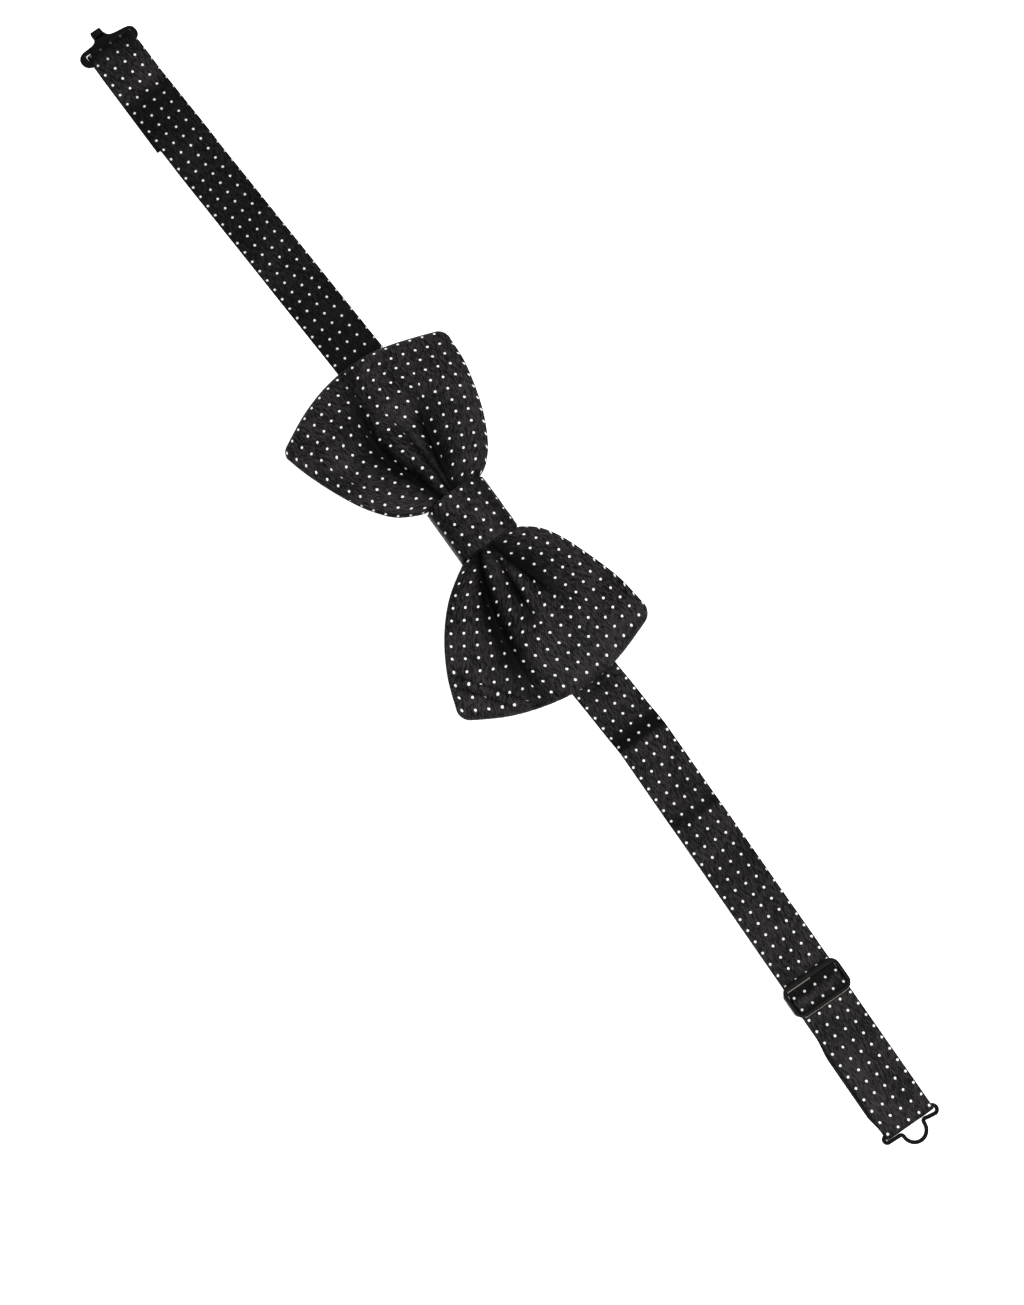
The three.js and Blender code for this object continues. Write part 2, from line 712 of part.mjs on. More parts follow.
/** The part of the band that slides round the eye's bar, and the runs that it leaves. */
function makeAdjusterRuns() {
  const top = [
    at(TOP_RUN_START + HALF_GAP, RUN_LEVEL),
    at(FOLD_START_AT - HALF_GAP, RUN_LEVEL),
  ];
  const shiftLength = 10;
  const shiftFoot = TAIL_START + shiftLength;
  const returning = [
    at(TAIL_START + HALF_GAP, TAIL_THICK / 2),
    at(shiftFoot, TAIL_THICK / 2, TAIL_SHIFT),
    at(FOLD_START_AT - HALF_GAP, TAIL_THICK / 2, TAIL_SHIFT),
  ];
  const fold = [
    at(FOLD_START_AT, RUN_LEVEL),
    ...arcAt(EYE_BAR_AT, FOLD_HEIGHT, FOLD_RADIUS, 90, -90, 8),
    at(FOLD_START_AT, TAIL_THICK / 2, TAIL_SHIFT / 4),
  ];
  const place = onBand(BAND_WIDTH);
  const run = clothRun({ path: returning, thick: TAIL_THICK, place, wall: SILK - PLAY });
  const foldSilk = clothRun({ path: fold, thick: TAIL_THICK, place, wall: SILK - PLAY });
  return [
    ...bandSection("adjuster_top_run", top),
    piece("adjuster_return_run", run, silkFinish()),
    piece("eye_fold_silk", foldSilk, silkFinish()),
  ];
}

/** The tail, sewn round the slider's bar. */
function makeTailLoop() {
  const barHalf = SLIDER_BAR_WIDTH / 2;
  const centre = SLIDER_AT - barHalf;
  const radius = SLIDER_BAR_THICK / 2 + LAYER_GAP + TAIL_THICK / 2;
  const height = TAIL_THICK / 2 + radius;
  const onRun = 1.5 * TAIL_THICK + LAYER_GAP;
  const tailEnd = TAIL_START - 3;
  const dropTop = SLIDER_AT + barHalf + 0.6;
  const dropLength = 3.4;
  const path = [
    at(TAIL_START, TAIL_THICK / 2),
    ...arcAt(centre, height, radius, 270, 90, 6),
    at(dropTop, height + radius),
    at(dropTop + dropLength, onRun),
    at(tailEnd, onRun),
  ];
  const place = onBand(BAND_WIDTH);
  const silk = clothRun({ path, thick: TAIL_THICK, place, wall: SILK - PLAY });
  const tackPath = [at(tailEnd + LAYER_GAP, onRun), at(tailEnd + 1, onRun)];
  const tackPlace = onBand(TACK_WIDTH);
  const tack = clothRun({ path: tackPath, thick: TAIL_THICK, place: tackPlace });
  return [
    piece("slider_tail_loop", silk, silkFinish()),
    piece("slider_bartack", tack, threadFinish()),
  ];
}

/** A rectangle with round corners, as a three.js shape or path. */
function roundedRectangle(target, left, right, low, high, radius) {
  target.moveTo(left + radius, low);
  target.lineTo(right - radius, low);
  target.absarc(right - radius, low + radius, radius, -Math.PI / 2, 0, false);
  target.lineTo(right, high - radius);
  target.absarc(right - radius, high - radius, radius, 0, Math.PI / 2, false);
  target.lineTo(left + radius, high);
  target.absarc(left + radius, high - radius, radius, Math.PI / 2, Math.PI, false);
  target.lineTo(left, low + radius);
  target.absarc(left + radius, low + radius, radius, Math.PI, 1.5 * Math.PI, false);
  return target;
}

/** Two rails over the band and one bar under it, joined by the frame's upright sides. */
function makeSlider() {
  const barBottom = TAIL_THICK + LAYER_GAP;
  const railBottom = RUN_HEIGHT + BAND_THICK + 1.5 * LAYER_GAP;
  const top = railBottom + RAIL_THICK;
  const halfLength = SLIDER_LENGTH / 2;
  const halfSpan = SLIDER_SPAN / 2;
  const halfSlot = HALF_BAND + SLIDER_CLEARANCE;
  const outerCorner = 2.6;
  const innerCorner = 1;
  const frameShape = roundedRectangle(
    new THREE.Shape(), -halfLength, halfLength, -halfSpan, halfSpan, outerCorner,
  );
  const windowStart = -halfLength + NEAR_RAIL;
  const windowEnd = halfLength - FAR_RAIL;
  const windowPath = roundedRectangle(
    new THREE.Path(), windowStart, windowEnd, -halfSlot, halfSlot, innerCorner,
  );
  frameShape.holes.push(windowPath);
  const bevel = 0.2;
  const frame = new THREE.ExtrudeGeometry(frameShape, {
    depth: top - barBottom - 2 * bevel,
    bevelEnabled: true,
    bevelThickness: bevel,
    bevelSize: bevel,
    bevelOffset: -bevel,
    bevelSegments: 1,
    curveSegments: 4,
  });
  frame.translate(0, 0, barBottom + bevel);
  const slot = boxBetween(
    [-halfLength - 1, -halfSlot, barBottom - 1],
    [halfLength + 1, halfSlot, railBottom],
  );
  const barHalf = SLIDER_BAR_WIDTH / 2;
  const grip = 0.5;
  const bar = boxBetween(
    [-barHalf, -halfSlot - grip, barBottom],
    [barHalf, halfSlot + grip, barBottom + SLIDER_BAR_THICK],
  );
  const solid = solidOf(frame).subtract(solidOf(slot)).add(solidOf(bar));
  const group = groupOnBand(SLIDER_AT);
  group.add(piece("slider_frame", geometryOf(solid), hardwareFinish()));
  return group;
}

/** Points of the eye's wire in plan, from the middle of its bar round to the other side. */
function eyeWirePoints() {
  const halfWire = EYE_WIRE / 2;
  const clear = FOLD_RADIUS + TAIL_THICK / 2 + LAYER_GAP + halfWire;
  const shoulderX = Math.max(clear, 2 * EYE_WIRE);
  const halfSpan = EYE_SPAN / 2 - halfWire;
  const earRadius = shoulderX / 2;
  const loopCentre = shoulderX + EYE_LOOP_DEPTH - EYE_LOOP_RADIUS;
  const buttGap = 0.2;
  const half = [[0, buttGap], [0, 3], [0, 6], [0, halfSpan - earRadius]];
  const earSteps = 6;
  for (let i = 1; i <= earSteps; i += 1) {
    const angle = Math.PI - (Math.PI * i) / earSteps;
    const x = earRadius + earRadius * Math.cos(angle);
    half.push([x, halfSpan - earRadius + earRadius * Math.sin(angle)]);
  }
  const neck = 0.35;
  half.push([shoulderX, EYE_LOOP_RADIUS + 2]);
  half.push([shoulderX + neck, EYE_LOOP_RADIUS + 2 * neck]);
  const loopSteps = 6;
  for (let i = 0; i <= loopSteps; i += 1) {
    const angle = Math.PI / 2 - ((Math.PI / 2) * i) / loopSteps;
    half.push([loopCentre + EYE_LOOP_RADIUS * Math.cos(angle), EYE_LOOP_RADIUS * Math.sin(angle)]);
  }
  const mirrored = half.slice(0, -1).reverse().map(([x, y]) => [x, -y]);
  return [...half, ...mirrored].map(([x, y]) => new THREE.Vector3(x, y, 0));
}

/** The eye: one wire whose bar carries the folded band and whose loop takes the hook. */
function makeEye() {
  const route = new THREE.CatmullRomCurve3(eyeWirePoints(), false, "centripetal");
  const section = new THREE.Shape();
  section.absarc(0, 0, EYE_WIRE / 2, 0, 2 * Math.PI, false);
  const wire = new THREE.ExtrudeGeometry(section, {
    extrudePath: route,
    steps: 78,
    curveSegments: 4,
    bevelEnabled: false,
  });
  const group = groupOnBand(EYE_BAR_AT);
  const mesh = piece("eye_wire", geometryOf(solidOf(wire)), hardwareFinish());
  mesh.position.z = FOLD_HEIGHT;
  group.add(mesh);
  return group;
}

// ---------------------------------------------------------------- hook

/** Plan of the hook's plate: rounded ears, and fillets running into the middle tab. */
function hookPlateShape() {
  const outer = -(foldClear() + HOOK_PLATE_DEPTH);
  const inner = HOOK_BAR_WIDTH / 2;
  const halfSpan = HOOK_PLATE_SPAN / 2;
  const ear = 2.4;
  const halfTab = HOOK_TAB_WIDTH / 2;
  const fillet = 1.6;
  const shape = new THREE.Shape();
  shape.moveTo(inner, -halfSpan + ear);
  shape.lineTo(inner, halfSpan - ear);
  shape.quadraticCurveTo(inner, halfSpan, inner - ear, halfSpan);
  shape.quadraticCurveTo(outer, halfSpan, outer, halfSpan - ear);
  shape.lineTo(outer, halfTab + fillet);
  shape.absarc(outer - fillet, halfTab + fillet, fillet, 0, -Math.PI / 2, true);
  shape.lineTo(outer - fillet, -halfTab);
  shape.absarc(outer - fillet, -halfTab - fillet, fillet, Math.PI / 2, 0, true);
  shape.lineTo(outer, -halfSpan + ear);
  shape.quadraticCurveTo(outer, -halfSpan, inner - ear, -halfSpan);
  shape.quadraticCurveTo(inner, -halfSpan, inner, -halfSpan + ear);
  return shape;
}

/** Distance from the hook's bar to the outside of the cloth that rounds it. */
function foldClear() {
  return (HOOK_PLATE_THICK + HOOK_BAR_WIDTH) / 2 + BAND_THICK + HOOK_FOLD_REACH;
}

/** A flat plate with a slot for the band, and a tab that curls back under as the hook. */
function makeHook() {
  const shape = hookPlateShape();
  const slot = roundedRectangle(
    new THREE.Path(), -foldClear(), -HOOK_BAR_WIDTH / 2,
    -HOOK_PLATE_SPAN / 2 + HOOK_EAR_WIDTH, HOOK_PLATE_SPAN / 2 - HOOK_EAR_WIDTH, 0.5,
  );
  shape.holes.push(slot);
  const plate = new THREE.ExtrudeGeometry(shape, {
    depth: HOOK_PLATE_THICK,
    bevelEnabled: false,
    curveSegments: 5,
  });
  plate.translate(0, 0, -HOOK_PLATE_THICK / 2);
  const tab = hookTab();
  const group = groupOnBand(-HOOK_BAR_AT);
  const mesh = piece("hook_plate", geometryOf(solidOf(plate).add(solidOf(tab))), hardwareFinish());
  mesh.position.z = HOOK_AXIS_HEIGHT;
  group.add(mesh);
  return group;
}

/** The hook's tab: straight out from the plate, round a half circle and back underneath. */
function hookTab() {
  const root = -(foldClear() + HOOK_PLATE_DEPTH) + 0.5;
  const radius = (HOOK_TIP_GAP + HOOK_PLATE_THICK) / 2;
  const turn = -(foldClear() + HOOK_PLATE_DEPTH) - HOOK_TAB_LENGTH + radius + HOOK_PLATE_THICK / 2;
  const path = [{ along: root, up: 0 }];
  const turnSteps = 8;
  for (let i = 0; i <= turnSteps; i += 1) {
    const angle = Math.PI / 2 + (Math.PI * i) / turnSteps;
    const up = -radius + radius * Math.sin(angle);
    path.push({ along: turn + radius * Math.cos(angle), up });
  }
  path.push({ along: turn + HOOK_TIP_LENGTH, up: -2 * radius });
  const place = (station, side, inset, lift, push) => new THREE.Vector3(
    station.along + push, (side * HOOK_TAB_WIDTH) / 2, station.up + lift,
  );
  return clothRun({ path, thick: HOOK_PLATE_THICK, place });
}

// ---------------------------------------------------------------- assembly

const bowTie = new THREE.Group();
bowTie.add(...makeBow());
bowTie.add(...makeKnot());
bowTie.add(...makeCentreBand());
bowTie.add(...makeHookBand());
bowTie.add(...makeHookEnd());
bowTie.add(makeHook());
bowTie.add(...makeAdjusterBand());
bowTie.add(...makeAdjusterRuns());
bowTie.add(...makeTailLoop());
bowTie.add(makeSlider());
bowTie.add(makeEye());

export default bowTie;
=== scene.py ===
"""A ready-tied bow tie in dotted silk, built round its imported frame.

The file is laid out as an add-on and is run as a script. The tie lies on its back: +X runs
along the neckband towards the slider and the eye, +Y is up when the tie is worn, and +Z is
the side that faces forwards. Shapes are worked out in millimetres and stored in metres.
"""

import bpy
import numpy as np
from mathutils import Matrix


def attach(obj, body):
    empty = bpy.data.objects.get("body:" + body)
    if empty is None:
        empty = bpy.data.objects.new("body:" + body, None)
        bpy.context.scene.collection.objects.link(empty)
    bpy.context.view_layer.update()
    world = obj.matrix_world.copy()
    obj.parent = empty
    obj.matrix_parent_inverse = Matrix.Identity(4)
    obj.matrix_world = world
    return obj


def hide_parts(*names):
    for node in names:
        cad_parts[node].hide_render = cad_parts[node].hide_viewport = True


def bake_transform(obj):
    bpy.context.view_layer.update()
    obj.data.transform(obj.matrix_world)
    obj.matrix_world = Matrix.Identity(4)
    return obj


bl_info = {
    "name": "Ready-tied bow tie",
    "version": (1, 0, 0),
    "blender": (4, 5, 0),
    "location": "3D View > Sidebar > Bow tie",
    "description": "Builds the silk, the stitching and the hardware of a ready-tied bow tie",
    "category": "Object",
}

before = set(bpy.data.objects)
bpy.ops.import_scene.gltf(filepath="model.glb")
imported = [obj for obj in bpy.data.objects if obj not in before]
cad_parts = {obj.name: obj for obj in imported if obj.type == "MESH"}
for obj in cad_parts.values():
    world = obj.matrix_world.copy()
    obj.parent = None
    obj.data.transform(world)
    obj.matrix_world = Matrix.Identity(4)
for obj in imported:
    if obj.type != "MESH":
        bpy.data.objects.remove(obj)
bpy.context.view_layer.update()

MM = 0.001
CLOTH_MAP = "cloth"
# Painted shade on the silk: how far its ground is darkened and its dots dimmed.
SHADE_MARK = "painted_shade"
# How far the dots fade: where folds hide cloth, and as painted shade on edges and in the slot.
DOT_FADE_MARK = "dots_faded"
# Painted highlight lines on the slider's lacquer.
HIGHLIGHT_MARK = "painted_highlight"

# ------------------------------------------------------------------ places on the tie
# All in millimetres. A distance along the neckband is counted from the knot's middle.

BAND_LINE = np.array(
    [[-240, -5.65], [-70, 2.3], [-30, 1.2], [30, 1.2], [95, 4.5], [270, 0.96]], float
)
MIDDLE_LEG = 2
CROOK_EASE = 4.0

BAND_WIDTH = 19.0
BAND_THICK = 0.9
TAIL_THICK = 0.6
BAND_LEVEL = BAND_THICK / 2
CLOTH_CROWN = 0.07
RUN_LEVEL = 2.75

UNDER_KNOT_LEVEL = 1.55
UNDER_KNOT_END = 12.5
LAID_DOWN_AT = 19.5

# Where the hook's half climbs over its own tail, and the level that it runs at there.
CLIMB_FROM = -167.9
CLIMB_TO = -177.9
OVER_TAIL_LEVEL = BAND_LEVEL + BAND_THICK + 0.1
RISE_TO_FOLD_AT = -205.0
FOLD_CREST_AT = -218.4
UNDER_FOLD_AT = -223.2
TAIL_DOWN_AT = -212.9
TAIL_SLANT = -1.2
HOOK_BAR_AT = -221.9
HOOK_LEVEL = 2.4
HOOK_FOLD_RADIUS = 1.25
HOOK_FOLD_AT = -224.3
HOOK_TAIL_END = -180.9

# The soft waves of the slider's half: a low swell, a dip, and a long lift to the top run.
SWELL_FROM = 71
SWELL_AT = 79
SWELL_LEVEL = 0.95
DIP_AT = 88
DIP_LEVEL = 0.6
LIFT_AT = 97
LIFT_END = 123
LIFT_LEVEL = 2.15
TOP_RUN_FROM = 133
SLIDER_AT = 199.3
SLIDER_BAR_EDGE = SLIDER_AT - 0.9
SLIDER_LOOP_LEVEL = 1.1
SLIDER_LOOP_RADIUS = 0.8
OVER_BAR_LEVEL = 1.9
HUMP_FOOT = 3.55
HUMP_RISE = 0.65
HUMP_AT = 0.9
HUMP_REACH = 2.2
HUMP_THICK = 0.5
SEWN_TAIL_LEVEL = 1.0
EYE_BAR_AT = 252.0
EYE_LEVEL = 1.525
EYE_FOLD_RADIUS = 1.225
EYE_FOLD_AT = 249.1
FOLD_SEAM_AT = EYE_FOLD_AT - 2
RETURN_FROM = 251.4
RETURN_SEAM_AT = 243
RETURN_SHIFT = -1.0
TAIL_START = 211.5

# The neckband's stretches that bend: the piece, where it starts and ends, the CAD stretch
# that it replaces, the bodies that it runs from and to, and where its bend starts and ends.
HOOK_STRETCHES = [
    ("hook_strap_inner", 0, -55, "band_centre", "bow", "hook_band_near", (-14, -46)),
    ("hook_strap_middle", -55, -105, "hook_band_near", "hook_band_near", "hook_band_mid", (-62, -98)),
    ("hook_strap_outer", -105, -155, "hook_band_mid", "hook_band_mid", "hook_band_end", (-112, -148)),
]
ADJUSTER_STRETCHES = [
    ("adjuster_strap_inner", 0, 55, "band_centre", "bow", "adjuster_band_near", (14, 46)),
    ("adjuster_strap_middle", 55, 105, "adjuster_band_near", "adjuster_band_near",
     "adjuster_band_mid", (62, 98)),
    ("adjuster_strap_outer", 105, 143, "adjuster_band_mid", "adjuster_band_mid",
     "adjuster_band_end", (115, 141)),
]
HOOK_END_FROM = -155
TOP_RUN_SEAM_AT = 143
TACK_REACH = 6.6

KNOT_HALF_SPAN = 11.2
KNOT_SHIFT = 0.5
KNOT_HALF_WIDTH = 11.5
KNOT_SEAM_AT = -6.0
KNOT_SEAM_WIDTH = 1.2
KNOT_SHOULDER = 6.7
KNOT_TOP = 12.1

KNOT_DOT_SHIFT = (0.8, 2.1)

WAIST_REACH = 11.8
WAIST_HALF = 9.9
BOW_THICK = 1.4
CLOTH_WIDTH = 78.5
FOLD_START = 0.93
# Stations along a wing: under the knot, over the front, round the fold and over the back.
WAIST_STATIONS = 8
FRONT_STATIONS = 92
TURN_STATIONS = 20
REAR_STATIONS = 48
# Levels of a wing at shares of its length: its front's middle, its front's edges, its back.
CROWN_LEVELS = [(0, 10.2), (0.35, 13.8), (0.65, 13.8), (1, 9.94)]
EDGE_LEVELS = [(0, 6.7), (0.3, 10.2), (0.7, 10.2), (1, 7.65)]
BACK_LEVELS = [(0, 3.4), (0.3, 2.4), (1, 2.4)]
BOW_DOT_SHIFT = (0.6, 1.35)

HOOK_WING = {
    "direction": -1,
    "upper": [(12.9, 14), (16.2, 18.3), (22.6, 22.4), (32.2, 26.6), (46, 30.3), (62.7, 33)],
    "lower": [(12.9, -14.2), (17.9, -22.5), (27.5, -30.1), (42, -37), (56.8, -41.7)],
    "end": [(64.6, -26.8), (69, -13.1), (70.3, 1), (68.4, 14)],
}
ADJUSTER_WING = {
    "direction": 1,
    "upper": [(12.5, 13.2), (16.3, 17.5), (22, 20.9), (29.7, 24.2), (44.2, 28.9), (62, 32.9)],
    "lower": [(12.5, -12.8), (20.1, -23.4), (29.7, -32), (41.2, -38.8), (55.4, -44.7)],
    "end": [(63.9, -29.6), (68.8, -14.1), (70.4, 1), (68.2, 15)],
}

# Folds gathered in the knot. Each row is a point on the fold's valley: distance out from the
# knot, height on the wing, depth, and how far the valley reaches below and above its line.
HOOK_FOLDS = [
    [
        (9, 0.6, 0.6, 1.2, 2.4),
        (15, 1.2, 3.0, 1.3, 3.4),
        (22, 2.4, 4.4, 1.5, 4.6),
        (29, 3.8, 4.6, 1.8, 5.2),
        (36, 5.6, 4.0, 2.2, 5.0),
        (43, 8.2, 2.6, 2.8, 4.4),
        (49, 11.2, 0.9, 3.0, 3.6),
        (56, 13.5, 0.0, 3.0, 3.4),
    ],
    [
        (9, -0.3, 0.2, 0.7, 0.7),
        (16, -0.5, 1.4, 0.8, 0.8),
        (30, -1.5, 2.2, 1.0, 0.9),
        (41, -3.0, 1.2, 1.2, 1.0),
        (48, -3.8, 0.0, 1.2, 1.0),
    ],
    [
        (9, -3.4, 0.6, 1.5, 1.3),
        (15, -5.0, 3.2, 2.2, 1.6),
        (22, -7.6, 4.8, 3.2, 2.0),
        (30, -10.8, 5.2, 4.2, 2.4),
        (38, -12.4, 4.9, 5.0, 2.8),
        (47, -12.0, 3.8, 5.2, 3.2),
        (57, -9.5, 2.6, 4.8, 3.4),
        (70, -5.6, 1.6, 4.2, 3.4),
    ],
    [(26, -24, 0.0, 4, 4), (35, -28, 1.5, 5, 5), (44, -31.5, 0.0, 4, 4)],
]
ADJUSTER_FOLDS = [
    [
        (9, 0.4, 0.6, 1.1, 2.2),
        (14, 1.1, 3.0, 1.2, 3.2),
        (21, 2.6, 4.6, 1.4, 4.4),
        (28, 4.6, 4.6, 1.8, 4.8),
        (35, 7.0, 3.2, 2.4, 4.6),
        (42, 10.5, 1.2, 3.0, 4.0),
        (49, 15.0, 0.3, 3.0, 4.0),
        (56, 18.0, 0.0, 3.0, 4.0),
    ],
    [
        (9, -0.6, 0.2, 1.0, 0.7),
        (15, -0.8, 1.3, 1.3, 0.8),
        (23, -1.6, 2.6, 2.0, 1.0),
        (32, -2.5, 3.4, 2.6, 1.2),
        (40, -3.2, 2.3, 2.8, 1.4),
        (49, -4.0, 0.0, 2.8, 1.6),
    ],
    [
        (9, -3.8, 0.6, 1.4, 1.2),
        (14, -6.2, 3.2, 1.8, 1.5),
        (22, -10.0, 4.8, 2.6, 2.0),
        (30, -12.8, 5.4, 3.4, 2.4),
        (40, -15.2, 5.2, 4.4, 3.0),
        (52, -16.8, 4.2, 5.0, 3.4),
        (62, -17.2, 3.0, 5.0, 3.6),
        (70, -16.8, 2.2, 4.8, 3.6),
    ],
]
REAR_FOLDS = [
    [(9, 2.6, 0.3, 1.4, 1.8), (18, 5.0, 1.0, 2.0, 3.0), (30, 9.0, 0.5, 3.0, 4.0), (42, 13, 0, 3, 4)],
    [(9, -2, 0.3, 1.6, 1.4), (18, -5, 1.0, 3.0, 2.0), (30, -10, 0.5, 4.0, 3.0), (42, -15, 0, 4, 3)],
]
# A tuck pressed into the corner of the adjuster's wing, from its lower edge to its end.
TUCK_FROM = np.array([43.6, -38.6])
TUCK_TO = np.array([65.2, -22.4])
TUCK_WIDTH = 2.5
TUCK_REACH = 0.75
CORNER_ROUND = 0.036
REAR_TUCKED_IN = 0.045
CORNER_FROM = 0.9


# How far the rows of dots lie off the strap's middle, and their spacing across the strap
# as a share of their spacing along it: the strap is sewn up by hand, not quite on the thread.
DOT_DRIFT = [
    (-230, 0.5), (-60, 0.4), (-20, 0), (20, 0), (60, 0.05), (100, 0.05), (112, 0.25),
    (150, 0.5), (168, 0.45), (185, 0.1), (255, 0.1),
]
DOT_SPREAD = [(-230, 0.985), (-20, 0.97), (80, 0.955), (150, 0.97), (185, 0.945), (255, 0.945)]
# Painted shade along the neckband, by distance along it, for how far its silk turns away from
# the light: its hook half is cut the other way up and is painted darker, soft waves in the other
# half come and go as painted bands, and the slider's window is painted dark by its rails, with a
# paler line between.
BAND_SHADE = [
    (-230, 0.2), (-207, 0.1), (-199, 0.85), (-170, 0.6), (-140, 0.75), (-120, 0.55),
    (-95, 0.8), (-60, 0.95), (-20, 0.95), (20, 0.6), (70, 0.3), (80, 0.1), (87, 0.3),
    (93, 1.0), (96, 1.0), (98, 0.0), (112, 0.1), (122, 0.35), (128, 0.8), (131, 0.2),
    (142, 0.15), (150, 0.55), (158, 0.2), (175, 0.1), (191, 0.1), (194, 0.95), (198, 0.95),
    (200, 0.15), (201.3, 0.1), (202.6, 0.9), (204, 0.95), (206, 0.15), (245, 0.0), (260, 0.3),
]
# The silk's loose fold inside the hook's slot lies in the shade of the plate.
SLOT_SHADE = [(-230, 1), (-223.2, 1), (-222.2, 0), (260, 0)]


# ------------------------------------------------------------------ hardware's own sizes
# Plans are counted from each piece's bar: x along the neckband, y across it.

LACQUERED_HALF = 0.35
HOOK_BEVEL = 0.16
HOOK_SLOT = (-4.22, -0.55, -9.62, 9.62)
HOOK_SLOT_CORNER = 0.35
SLIT_AT = -8.5
SLIT_HALF = 1.1
SLIT_DEPTH = 0.5
TAB_FROM = -7.7
TAB_TIP_AT = -11.6
TAB_CURL_RADIUS = 1.0
TAB_RETURN = 2.6
TAB_HALF_WIDTH = 2.15
TAB_SHIFT = -0.9

SLIDER_OUTLINE = (-6.2, 6.2, -11.1, 11.1)
SLIDER_CORNER = 3.4
SLIDER_WINDOW = (-3.9, 4.5, -9.75, 9.75)
SLIDER_WINDOW_CORNER = 1.0
SLIDER_TOP = 4.35
SLIDER_RAIL_BOTTOM = 3.35
SLIDER_SIDE_BOTTOM = 0.7
SLIDER_SIDE_FROM = 9.62
SLIDER_BEVEL = 0.28
SLIDER_BAR_SECTION = (-0.9, 0.9, 0.7, 1.5)
SLIDER_BAR_REACH = 10.25
# Painted highlight lines on the slider: their reach across, on the far and the near rail's walls.
HIGHLIGHT_REACH = 9.3
FAR_WALL_HIGHLIGHT = 1.0
NEAR_WALL_HIGHLIGHT = 0.6

EYE_WIRE_RADIUS = 0.69
EYE_LOOP_RADIUS = 4.1
EYE_HALF_SPAN = 10.45
EYE_TIP_AT = 2.275 + 5.3
EYE_EARS = (1.5, 1.12)


# ------------------------------------------------------------------ curves and surfaces


def spline(points, share):
    """A smooth curve through points, read at shares of its length from 0 to 1.

    Between two points the curve is the cubic that leaves each point along the line that
    joins its two neighbours (a Catmull-Rom curve). Its length is summed over short steps.
    """
    points = np.asarray(points, float)
    ends = np.vstack([points[:1], points, points[-1:]])
    spans = len(points) - 1
    t = np.linspace(0, spans, 160 * spans + 1)
    i = np.minimum(t.astype(int), spans - 1)
    f = (t - i)[:, None]
    before, here, there, after = ends[i], ends[i + 1], ends[i + 2], ends[i + 3]
    leave, arrive = (there - before) / 2, (after - here) / 2
    curve = (
        (2 * here - 2 * there + leave + arrive) * f**3
        + (3 * there - 3 * here - 2 * leave - arrive) * f**2
        + leave * f
        + here
    )
    steps = np.linalg.norm(np.diff(curve[:, :2], axis=0), axis=1)
    run = np.concatenate([[0], np.cumsum(steps)])
    wanted = np.asarray(share, float) * run[-1]
    return np.stack([np.interp(wanted, run, column) for column in curve.T], axis=-1)


def eased(pairs, share):
    """A value that goes through (share, value) pairs, easing in and out of each one."""
    at, values = np.array(pairs, float).T
    index = np.clip(np.searchsorted(at, share) - 1, 0, len(at) - 2)
    part = np.clip((share - at[index]) / (at[index + 1] - at[index]), 0, 1)
    part = part * part * (3 - 2 * part)
    return values[index] * (1 - part) + values[index + 1] * part


def unit(vectors):
    """Vectors shortened or stretched to length 1."""
    return vectors / np.maximum(np.linalg.norm(vectors, axis=-1, keepdims=True), 1e-12)


def band_distances():
    """Distances along the neckband of the points of BAND_LINE, with 0 at the knot's middle."""
    lengths = np.linalg.norm(np.diff(BAND_LINE, axis=0), axis=1)
    run = np.concatenate([[0], np.cumsum(lengths)])
    return run - run[MIDDLE_LEG] + BAND_LINE[MIDDLE_LEG, 0]


def band_frame(distance):
    """Point and heading of the neckband's centre line at distances along it.

    The line is the average of the straight legs over a short stretch each way, which rounds
    its crooks, and the heading is the step between the two ends of that stretch.
    """
    distance = np.asarray(distance, float)
    marks = band_distances()
    offsets = np.linspace(-CROOK_EASE, CROOK_EASE, 17)

    def read(at):
        return np.stack([np.interp(at, marks, column) for column in BAND_LINE.T], axis=-1)

    point = np.mean([read(distance + offset) for offset in offsets], axis=0)
    heading = unit(read(distance + CROOK_EASE) - read(distance - CROOK_EASE))
    return point, heading


def flat_section(columns, edge_steps=4):
    """A flat cloth's section as shares of its half width and half thickness, all the way round.

    It runs over the top, round one edge on a half circle, back underneath and round the other
    edge. The third list says how far round an edge a point is, as a cosine on the half width.
    """
    top = np.linspace(-1, 1, columns)
    turn = np.linspace(0, np.pi, edge_steps + 2)[1:-1]
    flat = np.concatenate([top, np.ones(edge_steps), top[::-1], -np.ones(edge_steps)])
    lift = np.concatenate(
        [np.ones(columns), np.cos(turn), -np.ones(columns), -np.cos(turn)]
    )
    bulge = np.concatenate(
        [np.zeros(columns), np.sin(turn), np.zeros(columns), -np.sin(turn)]
    )
    return flat, lift, bulge


